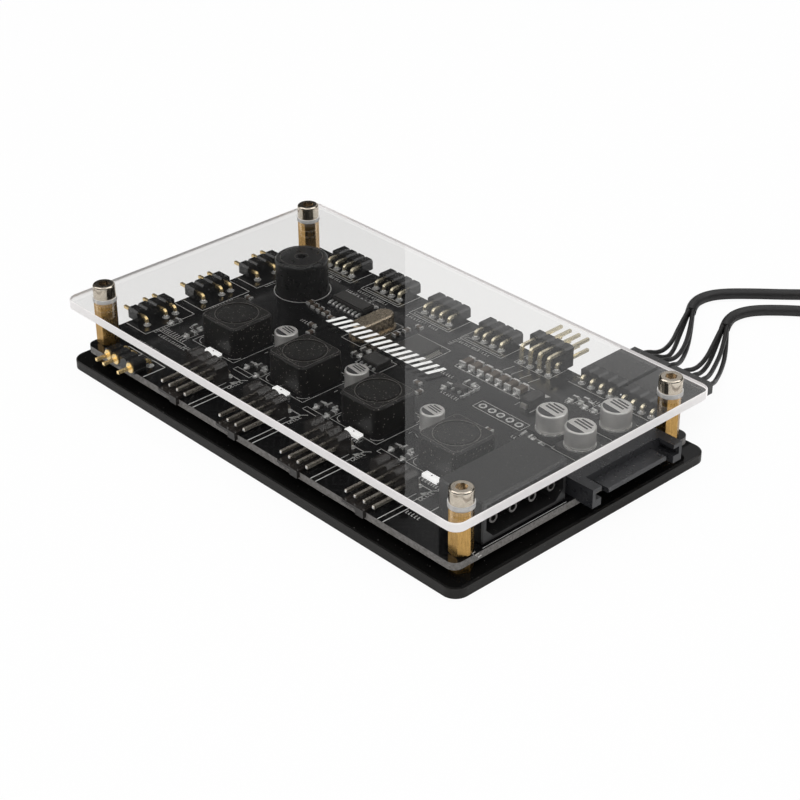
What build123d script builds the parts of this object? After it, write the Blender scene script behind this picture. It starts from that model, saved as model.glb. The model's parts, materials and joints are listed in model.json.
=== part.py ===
from build123d import *
import math
import os

# Fan and lighting hub: two plates held apart by posts, with a circuit board between them.
# All sizes are in millimetres. X runs along the long side, Y across it, Z up from the desk.
# The origin is the centre of the base plate's underside.

# Plates and circuit board
plate_length, plate_width = 118.6, 70.0
base_thick, base_corner = 2.0, 3.0
cover_thick, cover_corner = 2.0, 2.6
plate_edge_break = 0.2
board_inset_x, board_inset_y, board_thick, board_corner = 2.8, 2.5, 1.6, 2.0

# Posts, spacers and screws
hole_inset_x, hole_inset_y = 5.3, 6.6
hole_play = 0.3
spacer_height, spacer_across_flats = 1.9, 4.2
post_height, post_across_flats, post_edge_break = 8.9, 4.2, 0.35
screw_diameter = 2.5
screw_head_diameter, screw_head_height, screw_head_round = 4.8, 3.0, 0.45
screw_key, screw_key_depth = 2.2, 1.7
screw_grip = 3.6
flat_head_diameter, flat_head_angle = 4.7, 90
flat_head_key, flat_head_key_depth = 1.5, 0.9

# Header pins and the black strips that hold them
pin_pitch, pin_side, pin_point, pin_bend = 2.54, 0.64, 0.12, 0.75
pin_axis = 1.5
pin_below_board = 0.7
pin_hole, pin_play = 1.1, 0.04
ways = 4
strip_depth, strip_height, strip_chamfer = 3.2, 2.8, 0.42

# Four fan headers on the front edge, each with a locking tongue under its pins
fan_first, fan_step = -26.5, 19.0
fan_face, fan_tip, fan_tail = -24.7, -32.0, -20.4
fan_wafer_depth, fan_wafer_height, fan_wafer_arch = 3.2, 4.3, 0.7
fan_tongue_width, fan_tongue_thick, fan_tongue_shift = 5.9, 0.6, -0.5
fan_tongue_past_board = 0.8
fan_catch_width, fan_catch_drop = 2.2, 1.1

# Three-pin lighting headers: three on the left edge and one on the front edge
side_strip_places, side_missing_way = (-15.45, 0.0, 15.4), 1
front_strip_place, front_missing_way = -43.1, 2
strip_past_board = 0.85
edge_tail = 4.1
side_pin_reach, front_pin_reach = 3.95, 4.2
collar_width, collar_height, collar_thick = 1.15, 2.0, 0.3

# Four sockets and one two-row header on the back edge
socket_first, socket_step = -42.8, 15.8
socket_past_board, socket_tail, socket_mouth, socket_mouth_depth = 0.9, 4.4, 1.1, 1.9
double_place, double_axis = 18.67, 1.45
double_strip_depth, double_past_board = 2.5, 1.3
double_tails = (2.35, 4.9)
double_pin_reach = 7.3

# Two lead connectors at the right end of the back edge
lead_places, lead_axis = (33.2, 44.3), 1.3
lead_strip_depth, lead_past_board, lead_tail = 3.1, 2.0, 2.1
lead_pin_reach = 7.5
plug_length, plug_thick, plug_edge = 13.4, 2.54, 0.15
plug_cavity, plug_cavity_depth = 1.9, 3.0
plug_socket_depth = 6.0
plug_window, plug_window_length, plug_window_depth, plug_window_place = 1.1, 2.4, 0.3, 4.2

# The two leads: four wires from each plug, gathered in a round cable that ends in a moulded plug
wire_diameter, wire_offset = 1.0, 0.51
cable_diameter = 2.5
wire_straight, wire_gap = 1.5, 0.04
wire_routes = (
    (((29.4, 54.9, 4.2), (26.6, 62.2, 2.7), (22.0, 70.2, 1.95)),
     ((31.4, 54.8, 3.9), (27.9, 61.3, 1.5), (22.7, 69.9, 0.65)),
     ((33.4, 54.8, 4.3), (30.0, 62.2, 2.7), (24.7, 70.7, 1.95)),
     ((34.9, 54.7, 3.8), (30.4, 62.3, 1.4), (25.2, 70.3, 0.65))),
    (((39.2, 54.8, 4.3), (36.3, 61.9, 2.7), (32.3, 69.5, 1.95)),
     ((40.6, 54.9, 3.8), (36.8, 62.3, 1.5), (32.6, 69.8, 0.65)),
     ((43.0, 54.7, 4.2), (39.3, 61.5, 2.7), (35.0, 69.3, 1.95)),
     ((44.6, 54.9, 3.6), (40.0, 62.8, 1.3), (35.1, 70.5, 0.65))),
)
cable_starts = ((18.6, 78.2), (28.6, 77.9))
cable_headings = (124.0, 120.0)
# Each run of a cable: degrees turned to the left, then the length run
cable_runs = (
    ((0, 4.0), (-27, 4.3), (-27, 4.3), (-22, 6.5), (-5, 10.5), (5, 9.5), (-24, 8.5),
     (-26, 8.5), (-26, 8.5), (-19, 8.0), (-6, 8.0), (7, 7.0)),
    ((0, 4.0), (-26, 4.2), (-26, 4.2), (-21, 6.0), (-7, 7.0), (-26, 5.5), (-30, 5.5),
     (-29, 5.5), (-12, 6.0), (7, 6.0)),
)
end_width, end_thick, end_length = 10.4, 2.54, 9.0
end_boot_length, end_boot_diameter, end_hole_depth, end_edge = 5.0, 2.52, 5.0, 0.2

# Drive power connector on the right edge
drive_centre, drive_width, drive_height, drive_depth = -13.5, 22.2, 8.2, 11.6
drive_face_inset = 0.9
drive_wall, drive_back, drive_corner, drive_edge = 1.0, 2.6, 1.9, 0.3
drive_pin_pitch, drive_pin_diameter, drive_pin_bore, drive_pin_recess = 5.08, 2.1, 1.3, 0.7
drive_pin_axis, drive_pin_bore_depth = 4.3, 6.0
drive_leg, drive_leg_back, drive_leg_hole = 1.1, 1.2, 1.4

# Flat power connector on the right edge
flat_start, flat_length, flat_height, flat_below = -0.8, 25.4, 3.8, 0.3
flat_wall_inset, flat_wall_depth, flat_past_board = 3.9, 4.1, 4.3
flat_guide_width, flat_guide_wall, flat_guide_lip, flat_guide_foot = 2.4, 0.8, 0.85, 1.6
flat_tongue_gap, flat_tongue_base, flat_tongue_thick, flat_tongue_edge = 2.1, 1.1, 1.1, 0.25
flat_ways, flat_pitch, flat_contact_width, flat_contact_thick = 12, 1.27, 0.7, 0.15
flat_contact_margin, flat_tail_length = 0.5, 1.2

# Coils, capacitors and the other tall parts
coil_first, coil_step, coil_y, coil_count = -33.3, 22.2, -9.4, 4
coil_size, coil_height, coil_round, coil_edge = 11.3, 6.6, 1.6, 0.4
coil_ring_diameter, coil_ring_width, coil_ring_depth = 9.2, 0.5, 0.2
small_can_places = ((-22.2, -5.2), (0.0, -5.2), (22.2, -5.2))
small_can_diameter, small_can_height = 5.0, 5.2
large_can_places = ((38.3, 11.8), (46.2, 11.5), (46.0, 22.1))
large_can_diameter, large_can_height = 6.3, 5.2
can_base_height, can_base_margin, can_base_corner = 0.9, 0.3, 1.2
can_neck_height, can_neck_depth, can_top_round = 0.5, 0.2, 0.35
buzzer_inset, buzzer_y, buzzer_diameter, buzzer_height = 14.7, 15.9, 11.8, 8.2
buzzer_round, buzzer_hole, buzzer_hole_depth = 0.7, 2.0, 1.2
crystal_x, crystal_y, crystal_length, crystal_width, crystal_height = -16.3, 13.9, 11.0, 4.5, 3.5
crystal_flange, crystal_flange_height, crystal_round = 0.45, 0.5, 0.5
processor_x, processor_y, processor_size, processor_height = -3.9, 15.2, 7.4, 1.3
driver_x, driver_y, driver_length, driver_width, driver_height = -5.8, 5.3, 5.0, 4.0, 1.4
chip_corner, chip_mark, chip_mark_depth, chip_mark_inset = 0.25, 0.8, 0.08, 1.1
lamp_shift, lamp_y, lamp_length, lamp_width, lamp_height = 1.1, -17.0, 4.0, 1.4, 0.9

# Small flat parts: x, y and the turn about Z of each one
chip_capacitor_size = (1.6, 3.2, 1.1)
chip_capacitor_first, chip_capacitor_step, chip_capacitor_count = 7.6, 2.6, 7
chip_capacitor_y = 18.9
chip_resistor_size = (2.0, 1.25, 0.55)
chip_resistor_group = ((-22.9, -14.6, 90), (-20.7, -13.2, 0), (-18.8, -15.4, 90))
chip_resistor_places = (
    (-42.3, -15.4, 90), (-43.6, -12.4, 0), (-49.2, -14.2, 90), (32.8, 24.1, 90),
    (34.8, 25.1, 90), (36.6, 24.4, 90), (38.9, 24.6, 90), (36.2, 7.3, 0), (39.2, 6.7, 0),
    (14.1, 13.4, 0), (11.4, 9.2, 90), (-11.0, 7.2, 0), (-11.0, 4.6, 0),
)
transistor_place, transistor_size = (14.1, 10.4), (3.0, 1.5, 1.1)
diode_place, diode_size, diode_tab = (28.1, 17.1), (2.7, 4.4, 2.1), (1.5, 0.5, 0.9)
chip_edge = 0.15

# Hole spacing, board edges and the parts that follow them
hole_spacing_x, hole_spacing_y = plate_length - 2 * hole_inset_x, plate_width - 2 * hole_inset_y
board_length, board_width = plate_length - 2 * board_inset_x, plate_width - 2 * board_inset_y
front_edge, back_edge = -board_width / 2, board_width / 2
left_edge, right_edge = -board_length / 2, board_length / 2
drive_face = right_edge - drive_face_inset
flat_inner, flat_outer = right_edge - flat_wall_inset, right_edge + flat_past_board
buzzer_x = left_edge + buzzer_inset

# Heights of the stack
board_top = base_thick + spacer_height + board_thick
board_bottom = base_thick + spacer_height
cover_bottom = board_top + post_height
cover_top = cover_bottom + cover_thick
strip_length = ways * pin_pitch
clearance_hole = (screw_diameter + hole_play) / 2

os.makedirs("parts", exist_ok=True)


def save(piece, name):
    """Give the piece its name and write it to its own file."""
    piece.label = name
    export_step(piece, f"parts/{name}.step")


def row(first, step, count):
    """Evenly spaced places along a line."""
    return [first + step * i for i in range(count)]


def way_places(skip=None):
    """X of each pin in a four-way header, middle at zero, without a missing one."""
    return [x for i, x in enumerate(row(-strip_length / 2 + pin_pitch / 2, pin_pitch, ways))
            if i != skip]


def at_edge(x, y, turn=0):
    """Place on the board's top; a header faces -Y before it is turned."""
    return Location((x, y, board_top), (0, 0, turn))


def pin_row(places, tail, reach, axis, collar_at=None):
    """Bent square pins. The board edge is y = 0 and a pin's point is at -reach."""
    with BuildPart() as pin:
        foot = -board_thick - pin_below_board
        with BuildLine(Plane.YZ) as path:
            FilletPolyline((tail, foot), (tail, axis), (-reach, axis), radius=pin_bend)
        with BuildSketch(Plane.XY.offset(foot)):
            with Locations((0, tail)):
                Rectangle(pin_side, pin_side)
        sweep(path=path.line)
        chamfer(pin.faces().sort_by(Axis.Y)[0].edges(), pin_point)
        if collar_at is not None:
            with Locations((0, -collar_at, axis)):
                Box(collar_width, collar_thick, collar_height,
                    align=(Align.CENTER, Align.MAX, Align.CENTER))
    with BuildPart() as pins:
        with Locations(*[(x, 0, 0) for x in places]):
            add(pin.part)
    return pins.part


def strip(places, depth, height, past_edge, rows=(pin_axis,), arch=0, mouth=None):
    """Moulded strip of one lobe for each way, with a square hole for each pin."""
    half, shoulder = pin_pitch / 2, height - arch
    with BuildSketch() as lobe:
        if arch:
            with BuildLine():
                Polyline((half, shoulder), (half, 0), (-half, 0), (-half, shoulder))
                ThreePointArc((-half, shoulder), (0, height), (half, shoulder))
            make_face()
        else:
            with Locations((0, height / 2)):
                Rectangle(pin_pitch, height)
            chamfer(lobe.vertices(), strip_chamfer)
    with BuildPart() as body:
        with BuildSketch(Plane.XZ.offset(past_edge)):
            with Locations(*[(x, 0) for x in way_places()]):
                add(lobe.sketch)
        extrude(amount=-depth)
        with BuildSketch(Plane.XZ.offset(past_edge)):
            with Locations(*[(x, axis) for x in places for axis in rows]):
                Rectangle(pin_side + pin_play, pin_side + pin_play)
        extrude(amount=-depth, mode=Mode.SUBTRACT)
        if mouth:
            with BuildSketch(Plane.XZ.offset(past_edge)):
                with Locations(*[(x, axis) for x in places for axis in rows]):
                    Rectangle(mouth[0], mouth[0])
            extrude(amount=-mouth[1], mode=Mode.SUBTRACT)
    return body.part


# Glossy base plate, countersunk from below for the four base screws
with BuildPart() as base_plate:
    with BuildSketch():
        RectangleRounded(plate_length, plate_width, base_corner)
    extrude(amount=base_thick)
    chamfer(base_plate.faces().sort_by(Axis.Z)[-1].edges(), plate_edge_break)
    with Locations(Plane(base_plate.faces().sort_by(Axis.Z)[0])):
        with GridLocations(hole_spacing_x, hole_spacing_y, 2, 2):
            CounterSinkHole(clearance_hole, (flat_head_diameter + hole_play) / 2,
                            counter_sink_angle=flat_head_angle)
save(base_plate.part, "base_plate")

# Clear cover with four plain holes
with BuildPart() as clear_cover:
    with BuildSketch(Plane.XY.offset(cover_bottom)):
        RectangleRounded(plate_length, plate_width, cover_corner)
        with GridLocations(hole_spacing_x, hole_spacing_y, 2, 2):
            Circle(clearance_hole, mode=Mode.SUBTRACT)
    extrude(amount=cover_thick)
    chamfer(clear_cover.edges().filter_by(Axis.Z, reverse=True).filter_by(
        lambda e: e.length > screw_diameter * math.pi * 1.5), plate_edge_break)
save(clear_cover.part, "clear_cover")

# Hexagonal spacers under the board and posts over it, points towards the short ends
with BuildPart() as board_spacers:
    with BuildSketch(Plane.XY.offset(base_thick)):
        with GridLocations(hole_spacing_x, hole_spacing_y, 2, 2):
            RegularPolygon(spacer_across_flats / 2, 6, major_radius=False)
            Circle(clearance_hole, mode=Mode.SUBTRACT)
    extrude(amount=spacer_height)
save(board_spacers.part, "board_spacers")

# Hexagonal posts with turned ends, threaded right through
with BuildPart() as one_post:
    corner = post_across_flats / math.sqrt(3)
    with BuildSketch(Plane.XY.offset(board_top)):
        RegularPolygon(post_across_flats / 2, 6, major_radius=False)
        Circle(screw_diameter / 2, mode=Mode.SUBTRACT)
    extrude(amount=post_height)
    with BuildSketch(Plane.XZ) as turned:
        with Locations((corner / 2, board_top + post_height / 2)):
            Rectangle(corner, post_height)
        chamfer(turned.vertices().group_by(Axis.X)[-1], post_edge_break)
    revolve(axis=Axis.Z, mode=Mode.INTERSECT)
with BuildPart() as cover_posts:
    with GridLocations(hole_spacing_x, hole_spacing_y, 2, 2):
        add(one_post.part)
save(cover_posts.part, "cover_posts")

# Socket screws that hold the cover, and flat screws that hold the base and board
with BuildPart() as cover_screw:
    with BuildSketch(Plane.XY.offset(cover_top)):
        Circle(screw_head_diameter / 2)
    extrude(amount=screw_head_height)
    fillet(cover_screw.edges().sort_by(Axis.Z)[-1], screw_head_round)
    with BuildSketch(Plane.XY.offset(cover_top + screw_head_height)):
        RegularPolygon(screw_key / 2, 6, major_radius=False)
    extrude(amount=-screw_key_depth, mode=Mode.SUBTRACT)
    with BuildSketch(Plane.XY.offset(cover_bottom - screw_grip)):
        Circle(screw_diameter / 2)
    extrude(amount=screw_grip + cover_thick)
with BuildPart() as cover_screws:
    with GridLocations(hole_spacing_x, hole_spacing_y, 2, 2):
        add(cover_screw.part)
save(cover_screws.part, "cover_screws")

with BuildPart() as base_screw:
    head_depth = (flat_head_diameter - screw_diameter) / 2 / math.tan(math.radians(flat_head_angle / 2))
    with BuildSketch(Plane.XZ):
        with BuildLine():
            Polyline((0, 0), (flat_head_diameter / 2, 0), (screw_diameter / 2, head_depth),
                     (screw_diameter / 2, board_top + screw_grip), (0, board_top + screw_grip),
                     close=True)
        make_face()
    revolve(axis=Axis.Z)
    with BuildSketch(Plane.XY):
        RegularPolygon(flat_head_key / 2, 6, major_radius=False)
    extrude(amount=flat_head_key_depth, mode=Mode.SUBTRACT)
with BuildPart() as base_screws:
    with GridLocations(hole_spacing_x, hole_spacing_y, 2, 2):
        add(base_screw.part)
save(base_screws.part, "base_screws")

# Fan headers: rounded lobes behind, a flat tongue with a catch under the pins
fan_places = row(fan_first, fan_step, ways)
fan_wafer_past = front_edge - fan_face
fan_pins = pin_row(way_places(), fan_tail - front_edge, front_edge - fan_tip, pin_axis)
with BuildPart() as fan_header:
    add(strip(way_places(), fan_wafer_depth, fan_wafer_height, fan_wafer_past,
              arch=fan_wafer_arch))
    tongue_length = fan_face - front_edge + fan_tongue_past_board
    with BuildSketch(Plane.XY):
        with Locations((fan_tongue_shift, -fan_tongue_past_board + tongue_length / 2)):
            Rectangle(fan_tongue_width, tongue_length)
    extrude(amount=fan_tongue_thick)
    catch_x = fan_tongue_shift + fan_tongue_width / 2
    with BuildSketch(Plane.XY.offset(-fan_catch_drop)):
        with Locations((catch_x, -fan_tongue_past_board)):
            Rectangle(fan_catch_width, fan_tongue_past_board, align=(Align.MAX, Align.MIN))
    extrude(amount=fan_catch_drop + fan_tongue_thick)
for i, x in enumerate(fan_places, 1):
    save(at_edge(x, front_edge) * fan_header.part, f"fan_header_{i}")
    save(at_edge(x, front_edge) * fan_pins, f"fan_pins_{i}")

# Lighting headers on the left edge: four ways with the second one left out
side_ways = way_places(ways - 1 - side_missing_way)
side_strip = strip(side_ways, strip_depth, strip_height, strip_past_board)
side_pins = pin_row(side_ways, edge_tail, side_pin_reach, pin_axis)
with BuildPart() as side_strips:
    with Locations(*[at_edge(left_edge, y, -90) for y in side_strip_places]):
        add(side_strip)
save(side_strips.part, "side_strips")
with BuildPart() as side_strip_pins:
    with Locations(*[at_edge(left_edge, y, -90) for y in side_strip_places]):
        add(side_pins)
save(side_strip_pins.part, "side_strip_pins")

# Lighting header on the front edge, with a collar round each pin
front_ways = way_places(front_missing_way)
front_strip = strip(front_ways, strip_depth, strip_height, strip_past_board)
front_pins = pin_row(front_ways, edge_tail, front_pin_reach, pin_axis, strip_past_board)
save(at_edge(front_strip_place, front_edge) * front_strip, "front_strip")
save(at_edge(front_strip_place, front_edge) * front_pins, "front_strip_pins")

# Four sockets on the back edge, their contacts inside the square mouths
socket_places = row(socket_first, socket_step, ways)
socket = strip(way_places(), strip_depth, strip_height, socket_past_board,
               mouth=(socket_mouth, socket_mouth_depth))
socket_pins = pin_row(way_places(), socket_tail, socket_past_board - socket_mouth_depth, pin_axis)
with BuildPart() as back_sockets:
    with Locations(*[at_edge(x, back_edge, 180) for x in socket_places]):
        add(socket)
save(back_sockets.part, "back_sockets")
with BuildPart() as back_socket_pins:
    with Locations(*[at_edge(x, back_edge, 180) for x in socket_places]):
        add(socket_pins)
save(back_socket_pins.part, "back_socket_pins")

# Two-row header on the back edge
double_height = 2 * pin_pitch + pin_play
double_axes = (double_axis, double_axis + pin_pitch)
double_strip = strip(way_places(), double_strip_depth, double_height, double_past_board,
                     rows=double_axes)
save(at_edge(double_place, back_edge, 180) * double_strip, "double_header")
with BuildPart() as double_pins:
    for tail, axis in zip(double_tails, double_axes):
        add(pin_row(way_places(), tail, double_pin_reach, axis))
save(at_edge(double_place, back_edge, 180) * double_pins.part, "double_header_pins")

# Headers of the two leads, and the plug on each of them
lead_strip = strip(way_places(), lead_strip_depth, strip_height, lead_past_board, rows=(lead_axis,))
lead_pins = pin_row(way_places(), lead_tail, lead_pin_reach, lead_axis)
with BuildPart() as lead_headers:
    with Locations(*[at_edge(x, back_edge, 180) for x in lead_places]):
        add(lead_strip)
save(lead_headers.part, "lead_headers")
with BuildPart() as lead_header_pins:
    with Locations(*[at_edge(x, back_edge, 180) for x in lead_places]):
        add(lead_pins)
save(lead_header_pins.part, "lead_header_pins")

with BuildPart() as plug:
    with BuildSketch(Plane.XZ.offset(lead_past_board)):
        with Locations((0, lead_axis)):
            Rectangle(strip_length, plug_thick)
    extrude(amount=plug_length)
    chamfer(plug.edges().filter_by(Axis.Y), plug_edge)
    plug_rear = lead_past_board + plug_length
    with BuildSketch(Plane.XZ.offset(lead_past_board)):
        with Locations(*[(x, lead_axis) for x in way_places()]):
            Rectangle(pin_side + pin_play, pin_side + pin_play)
    extrude(amount=plug_socket_depth, mode=Mode.SUBTRACT)
    with BuildSketch(Plane.XZ.offset(plug_rear)):
        with Locations(*[(x, lead_axis) for x in way_places()]):
            Rectangle(plug_cavity, plug_cavity)
    extrude(amount=-plug_cavity_depth, mode=Mode.SUBTRACT)
    with BuildSketch(Plane.XY.offset(lead_axis - plug_thick / 2)):
        with Locations(*[(x, -lead_past_board - plug_window_place) for x in way_places()]):
            Rectangle(plug_window, plug_window_length)
    extrude(amount=plug_window_depth, mode=Mode.SUBTRACT)
for x, side in zip(lead_places, "ab"):
    save(at_edge(x, back_edge, 180) * plug.part, f"lead_plug_{side}")


def tube(points, diameter, name):
    """Round cord along straight runs joined by arcs as large as the runs allow."""
    points = [Vector(*p) for p in points]
    runs = [b - a for a, b in zip(points, points[1:])]
    radii = []
    for before, after in zip(runs, runs[1:]):
        half_turn = math.radians(before.get_angle(after)) / 2
        radii.append(0.45 * min(before.length, after.length) / math.tan(half_turn))
    with BuildPart() as cord:
        with BuildLine() as path:
            FilletPolyline(*points, radius=radii)
        with BuildSketch(Plane(points[0], z_dir=runs[0])):
            Circle(diameter / 2)
        sweep(path=path.line)
    length = path.wires()[0].length
    share = cord.part.volume / (math.pi * diameter ** 2 / 4 * length)
    print(f"{name}: {length:.1f} mm, volume {share:.4f} of section times length, radii",
          [round(r, 1) for r in radii])
    save(cord.part, name)


def walk(start, heading, runs):
    """Points and last heading of a route given as turns and lengths on the level."""
    points = [start]
    for turn, length in runs:
        heading += turn
        x, y, z = points[-1]
        points.append((x + length * math.cos(math.radians(heading)),
                       y + length * math.sin(math.radians(heading)), z))
    return points, heading


# Wires, cables and the moulded plug at the end of each cable
cable_height = cable_diameter / 2
for x, side, routes, (cx, cy), heading, runs in zip(
        lead_places, "ab", wire_routes, cable_starts, cable_headings, cable_runs):
    across = Vector(math.sin(math.radians(heading)), -math.cos(math.radians(heading)))
    cavity_end = back_edge + plug_rear - plug_cavity_depth
    for i, (way, route) in enumerate(zip(way_places(), routes)):
        shift = across * wire_offset * (-1 if i < 2 else 1)
        lift = wire_offset * (1 if i % 2 == 0 else -1)
        level = board_top + lead_axis
        first = (x + way, cavity_end, level)
        second = (x + way, back_edge + plug_rear + wire_straight, level)
        back = Vector(across.Y, -across.X) * wire_gap
        last = (cx + shift.X + back.X, cy + shift.Y + back.Y, cable_height + lift)
        tube([first, second, *route, last], wire_diameter, f"wire_{side}{i + 1}")
    points, heading = walk((cx, cy, cable_height), heading, runs)
    tube(points, cable_diameter, f"cable_{side}")
    end = Vector(*points[-1])
    forward = Vector(math.cos(math.radians(heading)), math.sin(math.radians(heading)))
    middle = Vector(end.X, end.Y, end_thick / 2)
    with BuildPart() as moulded:
        with BuildSketch(Plane(end, z_dir=forward)):
            Circle(end_boot_diameter / 2)
        with BuildSketch(Plane(middle + forward * end_boot_length, z_dir=forward,
                               x_dir=Vector(0, 0, 1).cross(forward))):
            Rectangle(end_width, end_thick)
        loft()
        front = Plane(middle + forward * (end_boot_length + end_length), z_dir=forward,
                      x_dir=Vector(0, 0, 1).cross(forward))
        with BuildSketch(front):
            Rectangle(end_width, end_thick)
        extrude(amount=-end_length)
        with BuildSketch(front):
            with GridLocations(pin_pitch, 0, ways, 1):
                Rectangle(pin_side + pin_play, pin_side + pin_play)
        extrude(amount=-end_hole_depth, mode=Mode.SUBTRACT)
    save(moulded.part, f"lead_end_{side}")

# Drive power connector: open shroud and four tubular pins with legs down through the board
with BuildPart() as drive_shroud:
    drive_middle = board_top + drive_height / 2
    mouth_plane = Plane((drive_face, drive_centre, drive_middle), x_dir=(0, 1, 0), z_dir=(1, 0, 0))
    with BuildSketch(mouth_plane):
        Rectangle(drive_width, drive_height)
    extrude(amount=-drive_depth)
    chamfer(drive_shroud.edges(), drive_edge)
    with BuildSketch(mouth_plane) as opening:
        Rectangle(drive_width - 2 * drive_wall, drive_height - 2 * drive_wall)
        chamfer(opening.vertices().group_by(Axis.Y)[0], drive_corner)
    extrude(amount=-(drive_depth - drive_back), mode=Mode.SUBTRACT)
    pin_plane = Plane((drive_face, drive_centre, board_top + drive_pin_axis),
                      x_dir=(0, 1, 0), z_dir=(1, 0, 0))
    with BuildSketch(pin_plane):
        with GridLocations(drive_pin_pitch, 0, ways, 1):
            Circle((drive_leg + pin_play) / 2)
    extrude(amount=-drive_depth, mode=Mode.SUBTRACT)
save(drive_shroud.part, "drive_connector")

with BuildPart() as drive_pin:
    drive_inner = drive_face - drive_depth + drive_back
    leg_x = drive_face - drive_depth - drive_leg_back
    leg_foot = board_bottom - pin_below_board
    pin_z = board_top + drive_pin_axis
    with BuildLine(Plane.XZ) as leg:
        FilletPolyline((leg_x, leg_foot), (leg_x, pin_z), (drive_inner, pin_z),
                       radius=drive_leg_back - drive_leg / 4)
    with BuildSketch(Plane.XY.offset(leg_foot)):
        with Locations((leg_x, 0)):
            Circle(drive_leg / 2)
    sweep(path=leg.line)
    tube_length = drive_face - drive_pin_recess - drive_inner
    with BuildSketch(Plane((drive_inner, 0, pin_z), z_dir=(1, 0, 0))):
        Circle(drive_pin_diameter / 2)
    extrude(amount=tube_length)
    with BuildSketch(Plane((drive_inner + tube_length, 0, pin_z), z_dir=(1, 0, 0))):
        Circle(drive_pin_bore / 2)
    extrude(amount=-drive_pin_bore_depth, mode=Mode.SUBTRACT)
drive_pin_places = row(drive_centre - 1.5 * drive_pin_pitch, drive_pin_pitch, ways)
with BuildPart() as drive_pins:
    with Locations(*[(0, y, 0) for y in drive_pin_places]):
        add(drive_pin.part)
save(drive_pins.part, "drive_connector_pins")

# Flat power connector: rear wall, two open end guides and a thin tongue between them
flat_middle = flat_start + flat_length / 2
flat_bottom = board_top - flat_below
flat_top = board_top + flat_height
guide_faces = Plane((flat_inner + flat_wall_depth, flat_middle, 0), x_dir=(0, 1, 0),
                    z_dir=(1, 0, 0))
with BuildPart() as flat_connector:
    with BuildSketch(Plane.XY.offset(board_top)):
        with Locations((flat_inner, flat_middle)):
            Rectangle(flat_wall_depth, flat_length, align=(Align.MIN, Align.CENTER))
    extrude(amount=flat_height)
    guide_length = flat_outer - flat_inner - flat_wall_depth
    with BuildSketch(guide_faces):
        for side in (-1, 1):
            outside = side * flat_length / 2
            with Locations((outside - side * flat_guide_width / 2, (flat_bottom + flat_top) / 2)):
                Rectangle(flat_guide_width, flat_top - flat_bottom)
            groove = (flat_bottom + flat_guide_foot, flat_top - flat_guide_lip)
            with Locations((outside - side * (flat_guide_wall + flat_guide_width) / 2,
                            sum(groove) / 2)):
                Rectangle(flat_guide_width - flat_guide_wall, groove[1] - groove[0],
                          mode=Mode.SUBTRACT)
    extrude(amount=guide_length)
    tongue_width = flat_length - 2 * (flat_guide_width + flat_tongue_gap)
    with BuildSketch(guide_faces):
        with Locations((0, board_top + flat_tongue_base + flat_tongue_thick / 2)):
            Rectangle(tongue_width, flat_tongue_thick)
    extrude(amount=guide_length)
    tongue_tip = flat_connector.edges().filter_by(Axis.Y).group_by(Axis.X)[-1]
    chamfer(tongue_tip.filter_by(lambda e: abs(e.length - tongue_width) < pin_play),
            flat_tongue_edge)
save(flat_connector.part, "flat_connector")

with BuildPart() as flat_contacts:
    contact_length = guide_length - flat_contact_margin
    with Locations((flat_inner + flat_wall_depth, flat_middle, board_top + flat_tongue_base)):
        with GridLocations(0, flat_pitch, 1, flat_ways):
            Box(contact_length, flat_contact_width, flat_contact_thick,
                align=(Align.MIN, Align.CENTER, Align.MAX))
    with Locations((flat_inner, flat_middle, board_top)):
        with GridLocations(0, flat_pitch, 1, flat_ways):
            Box(flat_tail_length, flat_contact_width, flat_contact_thick,
                align=(Align.MAX, Align.CENTER, Align.MIN))
save(flat_contacts.part, "flat_connector_contacts")

# Coils: square bodies with a round groove on top
with BuildPart() as coil:
    with BuildSketch(Plane.XY.offset(board_top)):
        RectangleRounded(coil_size, coil_size, coil_round)
    extrude(amount=coil_height)
    chamfer(coil.faces().sort_by(Axis.Z)[-1].edges(), coil_edge)
    with BuildSketch(Plane.XY.offset(board_top + coil_height)):
        Circle(coil_ring_diameter / 2)
        Circle(coil_ring_diameter / 2 - coil_ring_width, mode=Mode.SUBTRACT)
    extrude(amount=-coil_ring_depth, mode=Mode.SUBTRACT)
for i, x in enumerate(row(coil_first, coil_step, coil_count), 1):
    save(Location((x, coil_y, 0)) * coil.part, f"coil_{i}")


def can(diameter, height):
    """Can with a rolled neck near its foot, standing on its base."""
    radius, foot = diameter / 2, board_top + can_base_height
    neck = foot + can_neck_height
    with BuildPart() as shell:
        with BuildSketch(Plane.XZ) as half:
            with BuildLine():
                Polyline((0, foot), (radius, foot), (radius - can_neck_depth, neck),
                         (radius, neck + can_neck_height), (radius, board_top + height),
                         (0, board_top + height), close=True)
            make_face()
            fillet(half.vertices().sort_by(Axis.Y).group_by(Axis.Y)[-1].sort_by(Axis.X)[-1],
                   can_top_round)
        revolve(axis=Axis.Z)
    return shell.part


def can_base(diameter):
    """Square base with two corners cut off."""
    with BuildPart() as base:
        with BuildSketch(Plane.XY.offset(board_top)) as outline:
            Rectangle(diameter + 2 * can_base_margin, diameter + 2 * can_base_margin)
            chamfer(outline.vertices().group_by(Axis.Y)[-1], can_base_corner)
        extrude(amount=can_base_height)
    return base.part


for places, diameter, height, name in (
        (small_can_places, small_can_diameter, small_can_height, "small_can"),
        (large_can_places, large_can_diameter, large_can_height, "large_can")):
    with BuildPart() as cans:
        with Locations(*places):
            add(can(diameter, height))
    save(cans.part, f"{name}s")
    with BuildPart() as bases:
        with Locations(*places):
            add(can_base(diameter))
    save(bases.part, f"{name}_bases")

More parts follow.
